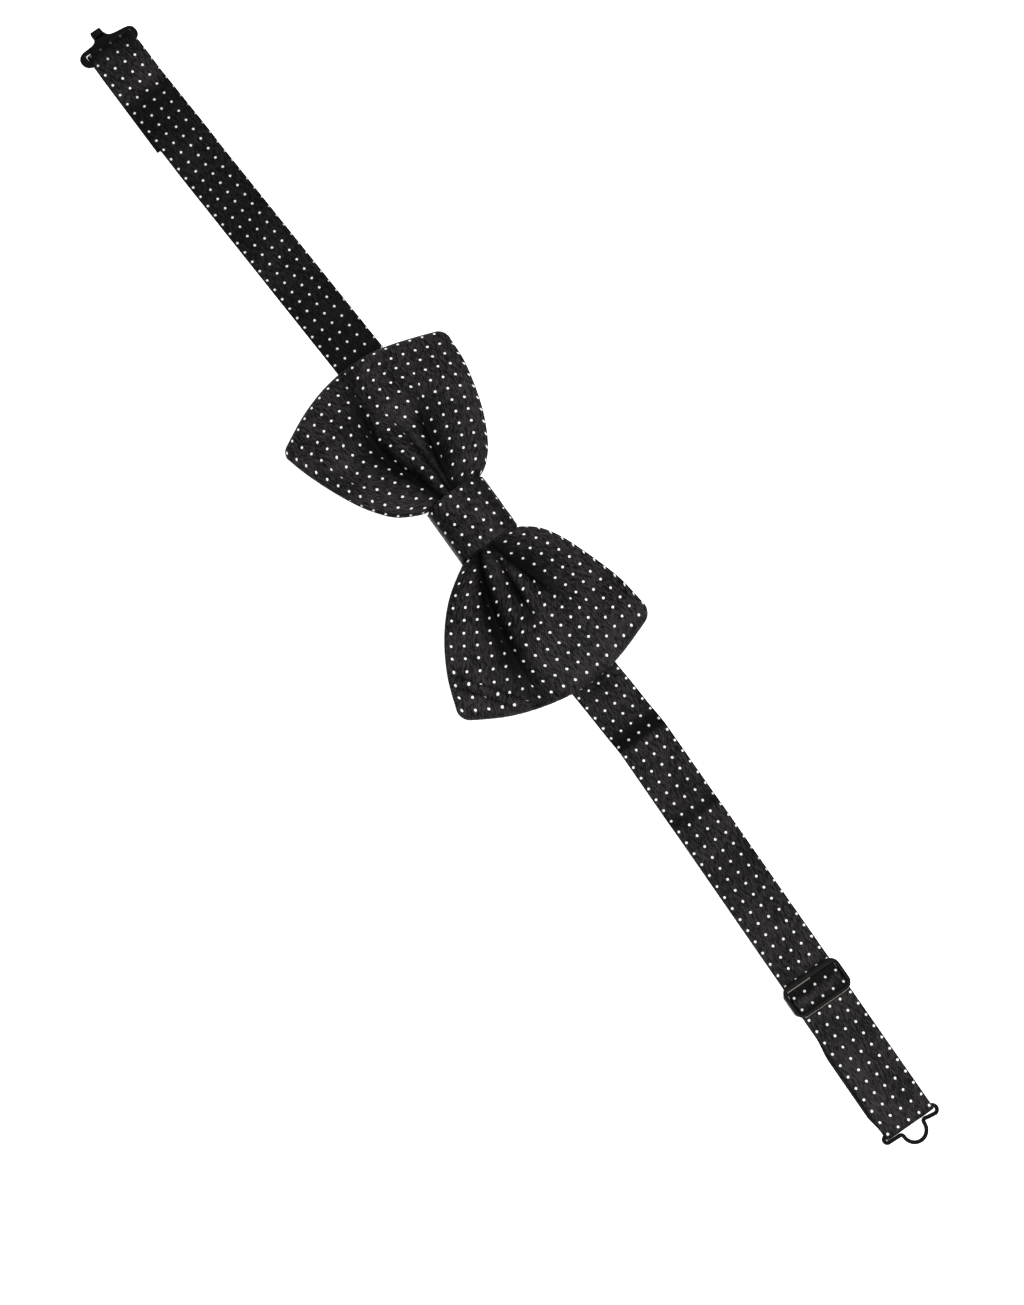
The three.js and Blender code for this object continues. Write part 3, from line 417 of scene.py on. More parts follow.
def mesh_piece(name, points, uv=None, closed=False, capped=True, sharp=50, marks=None):
    """A surface on a grid as a mesh: points is (stations, ring, 3), in millimetres.

    Neighbouring points are joined in quads. The ring always closes on itself; the stations do
    when closed, and otherwise each end is filled with one flat face. uv has one column more
    than the ring, so that the last quad of the ring has its own far side. Each of the marks
    is a value per point, kept with the mesh under its name for the finishes to read. Faces
    are turned round if the volume that they enclose comes out negative.
    """
    stations, ring = points.shape[:2]
    joins = stations if closed else stations - 1
    i, j = np.meshgrid(np.arange(joins), np.arange(ring), indexing="ij")
    i, j = i.ravel(), j.ravel()
    i_next, j_next = (i + 1) % stations, (j + 1) % ring
    quads = np.stack(
        [i * ring + j, i_next * ring + j, i_next * ring + j_next, i * ring + j_next], axis=1
    )
    vertices = points.reshape(-1, 3) * MM
    a, b, c, d = (vertices[quads[:, k]] for k in range(4))
    volume = np.sum(a * np.cross(b, c)) + np.sum(a * np.cross(c, d))
    corner_uv = None
    if uv is not None:
        flat_uv = uv.reshape(-1, 2) * MM
        wide = ring + 1
        corner_uv = np.stack(
            [flat_uv[i * wide + j], flat_uv[i_next * wide + j],
             flat_uv[i_next * wide + j + 1], flat_uv[i * wide + j + 1]], axis=1
        )
    turned = volume < 0
    if turned:
        quads = quads[:, ::-1]
        corner_uv = None if corner_uv is None else corner_uv[:, ::-1]
    loops = [quads.ravel()]
    sizes = [np.full(len(quads), 4)]
    uvs = [] if corner_uv is None else [corner_uv.reshape(-1, 2)]
    if capped and not closed:
        first = np.arange(ring)
        last = first + (stations - 1) * ring
        first, last = (first[::-1], last) if turned else (first, last[::-1])
        loops += [first, last]
        sizes += [[ring], [ring]]
        if corner_uv is not None:
            ends = uv[:, :ring].reshape(-1, 2) * MM
            uvs += [ends[first], ends[last]]
    loops = np.concatenate(loops).astype(np.int32)
    sizes = np.concatenate(sizes).astype(np.int32)
    mesh = bpy.data.meshes.new(name)
    mesh.vertices.add(len(vertices))
    mesh.vertices.foreach_set("co", vertices.ravel().astype(np.float32))
    mesh.loops.add(len(loops))
    mesh.loops.foreach_set("vertex_index", loops)
    mesh.polygons.add(len(sizes))
    starts = np.concatenate([[0], np.cumsum(sizes)[:-1]]).astype(np.int32)
    mesh.polygons.foreach_set("loop_start", starts)
    if corner_uv is not None:
        layer = mesh.uv_layers.new(name=CLOTH_MAP)
        layer.data.foreach_set("uv", np.concatenate(uvs).ravel().astype(np.float32))
    for key, values in (marks or {}).items():
        layer = mesh.attributes.new(key, "FLOAT", "POINT")
        layer.data.foreach_set("value", values.ravel().astype(np.float32))
    mesh.update(calc_edges=True)
    if mesh.validate():
        raise RuntimeError(f"the mesh of {name} had faults")
    mesh.shade_smooth()
    mesh.set_sharp_from_angle(angle=np.radians(sharp))
    made = bpy.data.objects.new(name, mesh)
    bpy.context.scene.collection.objects.link(made)
    return made


def joined(name, parts):
    """Several meshes as one piece, with the first one's name and materials."""
    bpy.ops.object.select_all(action="DESELECT")
    for part in parts:
        part.select_set(True)
    bpy.context.view_layer.objects.active = parts[0]
    bpy.ops.object.join()
    parts[0].name = name
    parts[0].data.name = name
    return parts[0]


def swept(path, profile, up=(0, 0, 1), closed=False):
    """A profile carried along a path: points of (stations, profile, 3).

    At each station the profile's first number goes sideways and its second goes up, in the
    plane square to the path. Sideways is up crossed with the path's direction.
    """
    path = np.asarray(path, float)
    if closed:
        direction = unit(np.roll(path, -1, axis=0) - np.roll(path, 1, axis=0))
    else:
        direction = unit(np.gradient(path, axis=0))
    side = unit(np.cross(np.broadcast_to(np.asarray(up, float), path.shape), direction))
    above = np.cross(direction, side)
    profile = np.asarray(profile, float)
    if profile.ndim == 2:
        profile = np.broadcast_to(profile, (len(path), *profile.shape))
    return (
        path[:, None]
        + side[:, None] * profile[..., :1]
        + above[:, None] * profile[..., 1:2]
    )


def circle(radius, sides):
    """A round profile."""
    angle = np.linspace(0, 2 * np.pi, sides, endpoint=False)
    return np.stack([radius * np.cos(angle), radius * np.sin(angle)], axis=1)


def place_on_band(points, distance):
    """Turns and moves points so that their +X lies along the neckband at a distance."""
    point, heading = band_frame(distance)
    x, y = points[..., 0], points[..., 1]
    return np.stack(
        [point[0] + x * heading[0] - y * heading[1],
         point[1] + x * heading[1] + y * heading[0],
         points[..., 2]], axis=-1
    )


# ------------------------------------------------------------------ finishes


class Socket:
    """An output of a material's node. Arithmetic on it adds Math nodes."""

    def __init__(self, tree, socket=None):
        self.tree = tree
        self.socket = socket

    def node(self, kind, settings=None, inputs=None, output=0):
        """Adds a node: first its settings, then the values or links of its sockets."""
        made = self.tree.nodes.new(kind)
        for key, value in (settings or {}).items():
            setattr(made, key, value)
        for key, value in (inputs or {}).items():
            if isinstance(value, Socket):
                self.tree.links.new(value.socket, made.inputs[key])
            else:
                made.inputs[key].default_value = value
        return Socket(self.tree, made.outputs[output] if made.outputs else None)

    def maths(self, operation, *values, clamp=False):
        """A Math node on values or sockets."""
        settings = {"operation": operation, "use_clamp": clamp}
        return self.node("ShaderNodeMath", settings, dict(enumerate(values)))

    def __add__(self, other):
        return self.maths("ADD", self, other)

    def __radd__(self, other):
        return self.maths("ADD", other, self)

    def __sub__(self, other):
        return self.maths("SUBTRACT", self, other)

    def __rsub__(self, other):
        return self.maths("SUBTRACT", other, self)

    def __mul__(self, other):
        return self.maths("MULTIPLY", self, other)

    def __rmul__(self, other):
        return self.maths("MULTIPLY", other, self)

    def __truediv__(self, other):
        return self.maths("DIVIDE", self, other)

    def clamped(self):
        """The value kept from 0 to 1."""
        return self.maths("ADD", self, 0, clamp=True)

    def vector(self, operation, *values, output=0, **named):
        """A Vector Math node on values or sockets."""
        inputs = {**dict(enumerate(values)), **named}
        return self.node("ShaderNodeVectorMath", {"operation": operation}, inputs, output)

    def colours(self, factor, first, second):
        """A blend of two colours, first at 0 and second at 1."""
        return self.node(
            "ShaderNodeMix", {"data_type": "RGBA"}, {0: factor, 6: first, 7: second}, 2
        )

    def noise(self, vector, scale, detail=2.0, roughness=0.5):
        """Noise from 0 to 1 at a scale of cells per metre."""
        inputs = {"Vector": vector, "Scale": scale, "Detail": detail, "Roughness": roughness}
        return self.node("ShaderNodeTexNoise", None, inputs)


def new_finish(name):
    """An empty material and the start of its nodes."""
    material = bpy.data.materials.new(name)
    material.use_nodes = True
    material.node_tree.nodes.clear()
    return material, Socket(material.node_tree)


def finish_with(start, shader):
    """Joins a shader to the material's output."""
    start.node("ShaderNodeOutputMaterial", None, {"Surface": shader})


def shade(colour, factor):
    """A colour made darker or lighter, with its alpha kept."""
    return (colour[0] * factor, colour[1] * factor, colour[2] * factor, 1)


def silk_finish(name, looks, dot_shift=(0.0, 0.0)):
    """Twill silk with woven pin dots, on the cloth's own map in metres.

    A dot is where the distance to the nearest point of a square grid is under its radius.
    The twill is a sine across slanted lines, broken up by noise that is drawn out along them.
    The mark for painted shade darkens the ground and dims the dots, painted in where the silk's
    sheen falls away as it turns from the light. The mark for faded dots takes the dots away where
    a fold swallows them, and as painted shade on the straps' rounded edges and in the hook's slot.
    """
    material, start = new_finish(name)
    cloth = start.node("ShaderNodeUVMap", {"uv_map": CLOTH_MAP})
    wobble = start.noise(cloth, 2600, 1.0)
    shift = (
        dot_shift[0] * MM / looks.dot_pitch + 0.5,
        dot_shift[1] * MM / looks.dot_pitch + 0.5,
        0.5,
    )
    cells = start.vector("SCALE", cloth, Scale=1 / looks.dot_pitch)
    cells = start.vector("FRACTION", start.vector("ADD", cells, shift))
    off_centre = start.vector("SUBTRACT", cells, (0.5, 0.5, 0.5))
    gap = start.vector("LENGTH", off_centre, output=1)
    radius = looks.dot_width / looks.dot_pitch / 2
    ragged = gap + (wobble - 0.5) * 0.05
    painted_shade = start.node("ShaderNodeAttribute", {"attribute_name": SHADE_MARK}, None, 2)
    dots_faded = start.node("ShaderNodeAttribute", {"attribute_name": DOT_FADE_MARK}, None, 2)
    dot = ((radius - ragged) / 0.05 + 0.5).clamped() * (1 - dots_faded).clamped()
    rim = ((radius * 1.7 - ragged) / 0.12).clamped()

    angle = np.radians(looks.twill_angle)
    across = (float(np.sin(angle)), float(np.cos(angle)), 0)
    lines = start.vector("DOT_PRODUCT", cloth, across, output=1) * (2 * np.pi / looks.twill_pitch)
    ribs = start.maths("SINE", lines) * 0.5 + 0.5
    drawn = start.node(
        "ShaderNodeMapping", {"vector_type": "POINT"},
        {"Vector": cloth, "Rotation": (0, 0, float(angle)), "Scale": (0.3, 1, 1)},
    )
    streaks = start.noise(drawn, 1500, 3.0, 0.65)
    broad = start.noise(cloth, 90, 2.0)
    slubs = start.noise(drawn, 2300, 1.0)
    weave = ribs * 0.5 + slubs * 0.5

    # The ground's tone comes mostly from the streaks, then from slow patches and the weave.
    tone = (streaks - 0.5) * 4.6 + (weave - 0.5) * 1.2 + (broad - 0.5) * 1.4 + 0.42
    ground = start.colours(tone.clamped(), looks.silk_dark, looks.silk_light)
    # Painted shade: where the mark says, the ground goes towards a third of the darkest silk.
    ground = start.colours((painted_shade * 0.92).clamped(), ground, shade(looks.silk_dark, 0.3))
    ground = start.colours(rim * 0.6, ground, shade(looks.silk_dark, 0.5))
    # Painted shade dims the dots as well; the twill's ribs dim them a little.
    dim = (painted_shade * 0.45 + ribs * 0.15).clamped()
    thread = start.colours(dim, looks.dot_colour, shade(looks.dot_colour, 0.25))
    colour = start.colours(dot, ground, thread)
    rough = 0.5 + weave * 0.16 + dot * 0.2
    height = weave * 0.5 + streaks * 0.5 + dot * 1.1 + (1 - rim) * 0.25
    bump = start.node(
        "ShaderNodeBump", None, {"Strength": 0.6, "Distance": 0.00008, "Height": height}
    )
    shader = start.node(
        "ShaderNodeBsdfPrincipled", None,
        {"Base Color": colour, "Roughness": rough, "Normal": bump,
         "Specular IOR Level": 0.035, "Sheen Weight": 0.003, "Sheen Roughness": 0.4,
         "Sheen Tint": (0.9, 0.88, 0.95, 1)},
    )
    finish_with(start, shader)
    return material


def thread_finish(name, colour):
    """Twisted sewing thread: coarse noise for its strands and fine noise for its fuzz."""
    material, start = new_finish(name)
    place = start.node("ShaderNodeTexCoord", None, None, 3)
    strands = start.noise(place, 4200)
    fuzz = start.noise(place, 9000, 1.0)
    tone = (strands * 0.7 + fuzz * 0.3).clamped()
    ground = start.colours(tone, shade(colour, 0.5), shade(colour, 1.7))
    bump = start.node(
        "ShaderNodeBump", None, {"Strength": 0.7, "Distance": 0.00008, "Height": tone}
    )
    shader = start.node(
        "ShaderNodeBsdfPrincipled", None,
        {"Base Color": ground, "Roughness": 0.62 + fuzz * 0.2, "Normal": bump,
         "Specular IOR Level": 0.25, "Sheen Weight": 0.15},
    )
    finish_with(start, shader)
    return material


def lacquer_finish(name, colour, worn):
    """Black lacquer on metal: fine orange peel, faint rubs, and a paler tone on worn edges.

    An edge is where the mesh points outwards sharply, broken up by the noise of the rubs. The
    mark for painted highlights paints pale highlight lines on the walls that the cloth slides along.
    """
    material, start = new_finish(name)
    place = start.node("ShaderNodeTexCoord", None, None, 3)
    peel = start.noise(place, 1500, 2.0)
    rubs = start.noise(place, 420, 3.0, 0.65)
    patch = start.noise(place, 160, 2.0)
    pointed = start.node("ShaderNodeNewGeometry", None, None, 7)
    edge = ((pointed - 0.6) * 7).clamped() * ((rubs - 0.5) * 5).clamped()
    ground = start.colours((patch * 0.8).clamped(), shade(colour, 0.75), shade(colour, 1.5))
    painted_highlight = start.node("ShaderNodeAttribute", {"attribute_name": HIGHLIGHT_MARK}, None, 2)
    tone = start.colours(edge * 0.5, ground, worn)
    # Painted highlight: the marked walls get a pale line, the worn tone made 2.6 times lighter.
    tone = start.colours(painted_highlight, tone, shade(worn, 2.6))
    rough = 0.26 + rubs * 0.2
    height = peel * 0.6 + rubs * 0.4
    bump = start.node(
        "ShaderNodeBump", None, {"Strength": 0.14, "Distance": 0.00005, "Height": height}
    )
    shader = start.node(
        "ShaderNodeBsdfPrincipled", None,
        {"Base Color": tone, "Roughness": rough, "Normal": bump, "Specular IOR Level": 0.02,
         "Metallic": (edge * 0.3).clamped()},
    )
    finish_with(start, shader)
    return material


def floor_finish(name, colour):
    """A plain pale floor, with a tone that hardly varies."""
    material, start = new_finish(name)
    place = start.node("ShaderNodeTexCoord", None, None, 3)
    tone = start.colours(start.noise(place, 3.0), colour, shade(colour, 0.985))
    shader = start.node(
        "ShaderNodeBsdfPrincipled", None,
        {"Base Color": tone, "Roughness": 0.9, "Specular IOR Level": 0.0,
         "Emission Color": (1, 1, 1, 1), "Emission Strength": 0.55},
    )
    finish_with(start, shader)
    return material


def dress(piece, material):
    """Gives a piece its material."""
    piece.data.materials.clear()
    piece.data.materials.append(material)
    return piece


# ------------------------------------------------------------------ the bow's loop


def wing_plan(wing, out, rise):
    """Plan of a wing: out from the knot (0) to the fold (1), rise from below (0) to above (1).

    A point is the blend of the lower and the upper edge at the same share out, plus the bulge
    of the folded end beyond its straight chord, taken in proportion to the share out.
    """
    low = (WAIST_REACH, KNOT_SHIFT - WAIST_HALF)
    high = (WAIST_REACH, KNOT_SHIFT + WAIST_HALF)
    lower = spline([low, *wing["lower"]], out)[:, None]
    upper = spline([high, *wing["upper"]], out)[:, None]
    corners = wing["lower"][-1], wing["upper"][-1]
    end = [corners[0], *wing["end"], corners[1]]
    fold = np.stack([spline(end, row) for row in rise])
    chord = np.array(corners[0]) * (1 - rise[..., None]) + np.array(corners[1]) * rise[..., None]
    part = rise[..., None]
    return lower * (1 - part) + upper * part + out[:, None, None] * (fold - chord)


def valley(rows, distance, y):
    """Depth of one fold at plan points: a sharp valley that dies away on both sides.

    Its line, depth and reach come from a smooth curve through the rows. The depth falls as
    e to the minus (distance from the line over the reach), rounded at the very bottom.
    """
    line = spline(rows, np.linspace(0, 1, 240))
    read = [np.interp(distance, line[:, 0], line[:, k]) for k in range(1, 5)]
    middle, depth, below, above = read
    depth = depth * np.clip((distance - line[0, 0]) / 2, 0, 1) * (distance <= line[-1, 0] + 4)
    reach = np.where(y < middle, below, above)
    part = np.abs(y - middle) / reach
    shape = np.exp(0.3 - np.sqrt(part**2 + 0.3**2))
    taken = depth * np.exp(-(((y - middle) / TUCK_REACH) ** 2))
    return depth * shape, taken


def pressed_tuck(distance, y):
    """A tuck pressed flat: a raised strip between two sharp lines, fading at its inner end."""
    along = unit(TUCK_TO - TUCK_FROM)
    x, up = distance - TUCK_FROM[0], y - TUCK_FROM[1]
    run = x * along[0] + up * along[1]
    aside = x * -along[1] + up * along[0]
    length = np.linalg.norm(TUCK_TO - TUCK_FROM)
    shown = np.clip((run + 3) / 4, 0, 1) * np.clip((length + 6 - run) / 5, 0, 1)
    strip = np.clip((TUCK_WIDTH / 2 - np.abs(aside)) / 0.5 + 0.5, 0, 1)
    lines = np.exp(-((np.abs(aside) - TUCK_WIDTH / 2 - 0.35) / 0.55) ** 2)
    return shown * (0.45 * strip - 0.75 * lines)


def wing_surface(wing, folds, columns):
    """Middle surface of one wing's cloth, from the knot's middle round the fold and back.

    Its height is a crown across the wing, higher in the middle than at the edges, and the
    fold is half an ellipse between the front's height and the back's. The valleys of the
    folds are taken off the front and, smaller, added to the back. The other two answers say
    how much cloth each point takes up and how much painted shade it gets: in the valleys of
    the folds on the front, on their steep walls, and more near the knot.
    """
    front = np.linspace(0, 1, FRONT_STATIONS) * FOLD_START
    turn = np.linspace(0, np.pi, TURN_STATIONS + 2)[1:-1]
    rear = np.linspace(1, 0, REAR_STATIONS) * FOLD_START
    waist_in = np.linspace(-1, 0, WAIST_STATIONS + 1)[:-1]
    waist_out = np.linspace(0, -0.94, WAIST_STATIONS + 1)[1:]
    out = np.concatenate(
        [waist_in, front, FOLD_START + (1 - FOLD_START) * np.sin(turn), rear, waist_out]
    )
    level = np.concatenate(
        [np.ones(len(waist_in) + len(front)), np.cos(turn), -np.ones(len(rear) + len(waist_out))]
    )
    on_wing = np.clip(out, 0, 1)
    widths = np.interp(on_wing, [0, 0.3, 1], [2 * WAIST_HALF, 48, 76])
    inset = (BOW_THICK / 2) / widths
    rise = inset[:, None] + (1 - 2 * inset[:, None]) * np.linspace(0, 1, columns)[None]
    inner = out < 0
    side = 2 * rise - 1
    near_corner = np.clip((np.abs(side) - CORNER_FROM) / (1 - CORNER_FROM), 0, 1) ** 2.2
    pulled_in = CORNER_ROUND * near_corner * np.clip(on_wing * 4 - 3, 0, 1)[:, None]
    plan = wing_plan(wing, on_wing, rise) * (1 - pulled_in[..., None])
    plan[inner, :, 0] = WAIST_REACH * (1 + out[inner, None])
    plan[inner, :, 1] = KNOT_SHIFT + side[inner] * WAIST_HALF
    share = np.minimum(on_wing, FOLD_START)
    crown = eased(CROWN_LEVELS, share)[:, None]
    edge = eased(EDGE_LEVELS, share)[:, None]
    back = eased(BACK_LEVELS, share)[:, None]
    top = edge + (crown - edge) * (1 - side**2)
    distance, y = plan[..., 0], plan[..., 1]
    facing = ((1 + level) / 2)[:, None]
    behind = 1 - REAR_TUCKED_IN * (1 - facing) * np.clip(on_wing * 3, 0, 1)[:, None]
    plan[..., 1] *= behind
    cut = np.zeros_like(top)
    gathered = np.full_like(top, 0.0008)
    for rows in folds:
        depth, taken = valley(rows, distance, y)
        cut += depth
        gathered += taken * facing
    if wing["direction"] > 0:
        cut -= pressed_tuck(distance, y)
    lifted = np.zeros_like(top)
    for rows in REAR_FOLDS:
        depth, taken = valley(rows, distance, y)
        lifted += depth
        gathered += taken * (1 - facing)
    room = np.maximum(top - back - BOW_THICK - 0.6, 0)
    cut = np.where(cut > 0, room * (1 - np.exp(-cut / np.maximum(room, 0.1))), cut)
    high = top - cut * facing
    low = back + lifted * 0.8
    height = (top + back) / 2 + level[:, None] * (top - back) / 2
    flat_front = level[:, None] >= 0
    blend = np.abs(level[:, None])
    height = np.where(flat_front, height + (high - top) * blend, height + (low - back) * blend)
    surface = np.stack([wing["direction"] * distance, y, height], axis=-1)
    steep = np.abs(np.gradient(cut, axis=1) / np.gradient(y, axis=1))
    # Painted shade on the front: in the folds' valleys and steep walls, and more near the knot.
    shade_mark = np.clip(cut / 3.0 + steep * 0.35 - 0.12, 0, 1) * facing
    shade_mark = shade_mark + 0.5 * np.clip((17 - distance) / 5, 0, 1) * (cut > 0.4) * facing
    return surface, gathered, np.clip(shade_mark, 0, 1)


def cloth_map(surface, gathered, fold_at):
    """The wing's map in millimetres of flat cloth.

    Across the strip it grows with the surface's own length, and the cloth that is gathered
    away lies in the valleys. Along the strip it is the length from the fold. The third answer
    is how far each point's cloth is hidden, from how tightly the map is packed there.
    """
    across = np.linalg.norm(np.diff(surface, axis=1), axis=-1)
    shown = across.sum(axis=1, keepdims=True)
    spare = np.maximum(CLOTH_WIDTH - shown, 0)
    share = (gathered[:, 1:] + gathered[:, :-1]) / 2
    share = share * across
    steps = across + spare * share / share.sum(axis=1, keepdims=True)
    packed = steps / np.maximum(across, 1e-6)
    packed = np.maximum(
        np.pad(packed, ((0, 0), (1, 0)), "edge"), np.pad(packed, ((0, 0), (0, 1)), "edge")
    )
    hidden = np.clip((packed - 1.7) / 0.8, 0, 1)
    run = np.concatenate([np.zeros((len(surface), 1)), np.cumsum(steps, axis=1)], axis=1)
    v = run / run[:, -1:] * CLOTH_WIDTH - CLOTH_WIDTH / 2
    along = np.linalg.norm(np.diff(surface[..., :2], axis=0), axis=-1)
    deep = np.abs(np.diff(surface[..., 2].mean(axis=1)))[:, None]
    along = np.sqrt(along**2 + deep**2)
    total = np.concatenate([np.zeros((1, surface.shape[1])), np.cumsum(along, axis=0)], axis=0)
    u = total - total[fold_at]
    return u, v, hidden


def bow_surface(columns=104, edge_steps=4):
    """Both wings as one strip of cloth with its thickness, and its map.

    The middle surface is moved half the cloth's thickness out and in along its normal, and
    the two sides are joined round each edge on a half circle.
    """
    hook, hook_taken, hook_shade = wing_surface(HOOK_WING, HOOK_FOLDS, columns)
    adjuster, adjuster_taken, adjuster_shade = wing_surface(
        ADJUSTER_WING, ADJUSTER_FOLDS, columns
    )
    fold_at = WAIST_STATIONS + FRONT_STATIONS + TURN_STATIONS // 2
    u_hook, v_hook, hook_hidden = cloth_map(hook, hook_taken, fold_at)
    u_adjuster, v_adjuster, adjuster_hidden = cloth_map(adjuster, adjuster_taken, fold_at)
    shades = np.concatenate([hook_shade[::-1], adjuster_shade[1:]])
    hides = np.concatenate([hook_hidden[::-1], adjuster_hidden[1:]])
    middle = np.concatenate([hook[::-1], adjuster[1:]])
    u = np.concatenate([-u_hook[::-1] - 400, u_adjuster[1:] + 400])
    v = np.concatenate([v_hook[::-1], v_adjuster[1:]])
    along = unit(np.gradient(middle, axis=0))
    across = unit(np.gradient(middle, axis=1))
    normal = unit(np.cross(along, across))
    half = BOW_THICK / 2
    turn = np.linspace(0, np.pi, edge_steps + 2)[1:-1]

    def edge(column, sign):
        hub, lean, up = middle[:, column], across[:, column] * sign, normal[:, column]
        return (
            hub[:, None]
            + half * (np.sin(turn)[None, :, None] * lean[:, None])
            + half * (np.cos(turn)[None, :, None] * up[:, None]) * sign
        )

    outer = middle + half * normal
    inner = middle - half * normal
    high = edge(-1, 1)
    low = edge(0, -1)
    points = np.concatenate([outer, high, inner[:, ::-1], low], axis=1)
    ones = np.ones(edge_steps)[None]
    arc = half * turn
    u_ring = np.concatenate([u, u[:, -1:] * ones, u[:, ::-1], u[:, :1] * ones, u[:, :1]], axis=1)
    round_edge = np.pi * half
    far = CLOTH_WIDTH / 2 + round_edge
    v_ring = np.concatenate(
        [v, CLOTH_WIDTH / 2 + arc[None] + 0 * v[:, :1], far + CLOTH_WIDTH / 2 - v[:, ::-1],
         far + CLOTH_WIDTH + arc[None] + 0 * v[:, :1],
         far + CLOTH_WIDTH + round_edge + 0 * v[:, :1]], axis=1
    )
    marks = {
        SHADE_MARK: np.concatenate(
            [shades, shades[:, -1:] * ones, shades[:, ::-1], shades[:, :1] * ones], axis=1
        ),
        DOT_FADE_MARK: np.concatenate(
            [hides, hides[:, -1:] * ones, hides[:, ::-1], hides[:, :1] * ones], axis=1
        ),
    }
    return points, np.stack([u_ring, v_ring], axis=-1), marks


# ------------------------------------------------------------------ straps


def arc(centre, height, radius, start, end, steps=18):
    """Points of an arc in the side view, from one angle to another in degrees."""
    angle = np.radians(np.linspace(start, end, steps))
    return np.stack(
        [centre + radius * np.cos(angle), height + radius * np.sin(angle), 0 * angle], axis=1
    )


def ramp(start, low, end, high, steps=15):
    """A rise in the side view that eases in and out."""
    part = np.linspace(0, 1, steps)
    eased_part = part * part * (3 - 2 * part)
    along = start + (end - start) * part
    return np.stack([along, low + (high - low) * eased_part, 0 * part], axis=1)


def level_run(start, end, height, step=0.8):
    """A straight run in the side view."""
    along = np.linspace(start, end, max(2, int(abs(end - start) / step)))
    return np.stack([along, height + 0 * along, 0 * along], axis=1)


def hook_path():
    """Side view of the hook's half of the neckband: distance, height, sideways shift.

    It leaves the knot, lies flat, climbs over its own tail, folds loosely round the hook's bar
    and comes back underneath as the tail, which has slipped a little to one side.
    """
    crest = HOOK_LEVEL + HOOK_FOLD_RADIUS
    parts = [
        level_run(0, -UNDER_KNOT_END, UNDER_KNOT_LEVEL),
        ramp(-UNDER_KNOT_END, UNDER_KNOT_LEVEL, -LAID_DOWN_AT, BAND_LEVEL),
        level_run(-LAID_DOWN_AT, CLIMB_FROM, BAND_LEVEL),
        ramp(CLIMB_FROM, BAND_LEVEL, CLIMB_TO, OVER_TAIL_LEVEL),
        level_run(CLIMB_TO, RISE_TO_FOLD_AT, OVER_TAIL_LEVEL),
        ramp(RISE_TO_FOLD_AT, OVER_TAIL_LEVEL, FOLD_CREST_AT, crest - 0.1),
        arc(HOOK_FOLD_AT, HOOK_LEVEL, HOOK_FOLD_RADIUS, 90, 270),
        ramp(UNDER_FOLD_AT, HOOK_LEVEL - HOOK_FOLD_RADIUS, TAIL_DOWN_AT, BAND_LEVEL),
        level_run(TAIL_DOWN_AT, HOOK_TAIL_END, BAND_LEVEL),
    ]
    tail_length = HOOK_TAIL_END - HOOK_BAR_AT

    def slipped(along, back):
        return np.where(back, TAIL_SLANT * (along - HOOK_BAR_AT) / tail_length, 0)

    return tidy_path(parts, slipped)


def adjuster_path():
    """Side view of the slider's half of the neckband, from the knot to the sewn tail.

    It leaves the knot, climbs in a soft wave to run over the slider's bar, rounds the eye's
    bar, comes back underneath and is sewn round the slider's bar.
    """
    parts = [
        level_run(0, UNDER_KNOT_END, UNDER_KNOT_LEVEL),
        ramp(UNDER_KNOT_END, UNDER_KNOT_LEVEL, LAID_DOWN_AT, BAND_LEVEL),
        level_run(LAID_DOWN_AT, SWELL_FROM, BAND_LEVEL),
        ramp(SWELL_FROM, BAND_LEVEL, SWELL_AT, SWELL_LEVEL, 8),
        ramp(SWELL_AT, SWELL_LEVEL, DIP_AT, DIP_LEVEL, 8),
        ramp(DIP_AT, DIP_LEVEL, LIFT_AT, LIFT_LEVEL),
        level_run(LIFT_AT, LIFT_END, LIFT_LEVEL),
        ramp(LIFT_END, LIFT_LEVEL, TOP_RUN_FROM, RUN_LEVEL),
        level_run(TOP_RUN_FROM, EYE_FOLD_AT, RUN_LEVEL),
        arc(EYE_BAR_AT, EYE_LEVEL, EYE_FOLD_RADIUS, 90, -90),
        level_run(RETURN_FROM, TAIL_START, TAIL_THICK / 2),
        arc(SLIDER_BAR_EDGE, SLIDER_LOOP_LEVEL, SLIDER_LOOP_RADIUS, 270, 90, 16),
        level_run(SLIDER_AT + 0.2, SLIDER_AT + 1.5, OVER_BAR_LEVEL),
        ramp(SLIDER_AT + 1.5, OVER_BAR_LEVEL, SLIDER_AT + 5, SEWN_TAIL_LEVEL),
        level_run(SLIDER_AT + 5, TAIL_START - 3, SEWN_TAIL_LEVEL),
    ]
    shifts = [
        (0, 0), (TAIL_START + 1, 0), (TAIL_START + 10, RETURN_SHIFT),
        (RETURN_SEAM_AT, RETURN_SHIFT), (250.5, 0),
    ]
    return tidy_path(parts, lambda along, back: np.where(back, eased(shifts, along), 0))


def tidy_path(parts, shift):
    """Joins parts into one path without repeated points, and gives it its length so far."""
    points = np.concatenate(parts)
    steps = np.linalg.norm(np.diff(points[:, :2], axis=0), axis=1)
    points = points[np.concatenate([[True], steps > 0.02])]
    steps = np.linalg.norm(np.diff(points[:, :2], axis=0), axis=1)
    run = np.concatenate([[0], np.cumsum(steps)])
    furthest = np.argmax(np.abs(points[:, 0]))
    back = np.arange(len(points)) > furthest
    points[:, 2] = shift(points[:, 0], back)
    return np.column_stack([points, run])


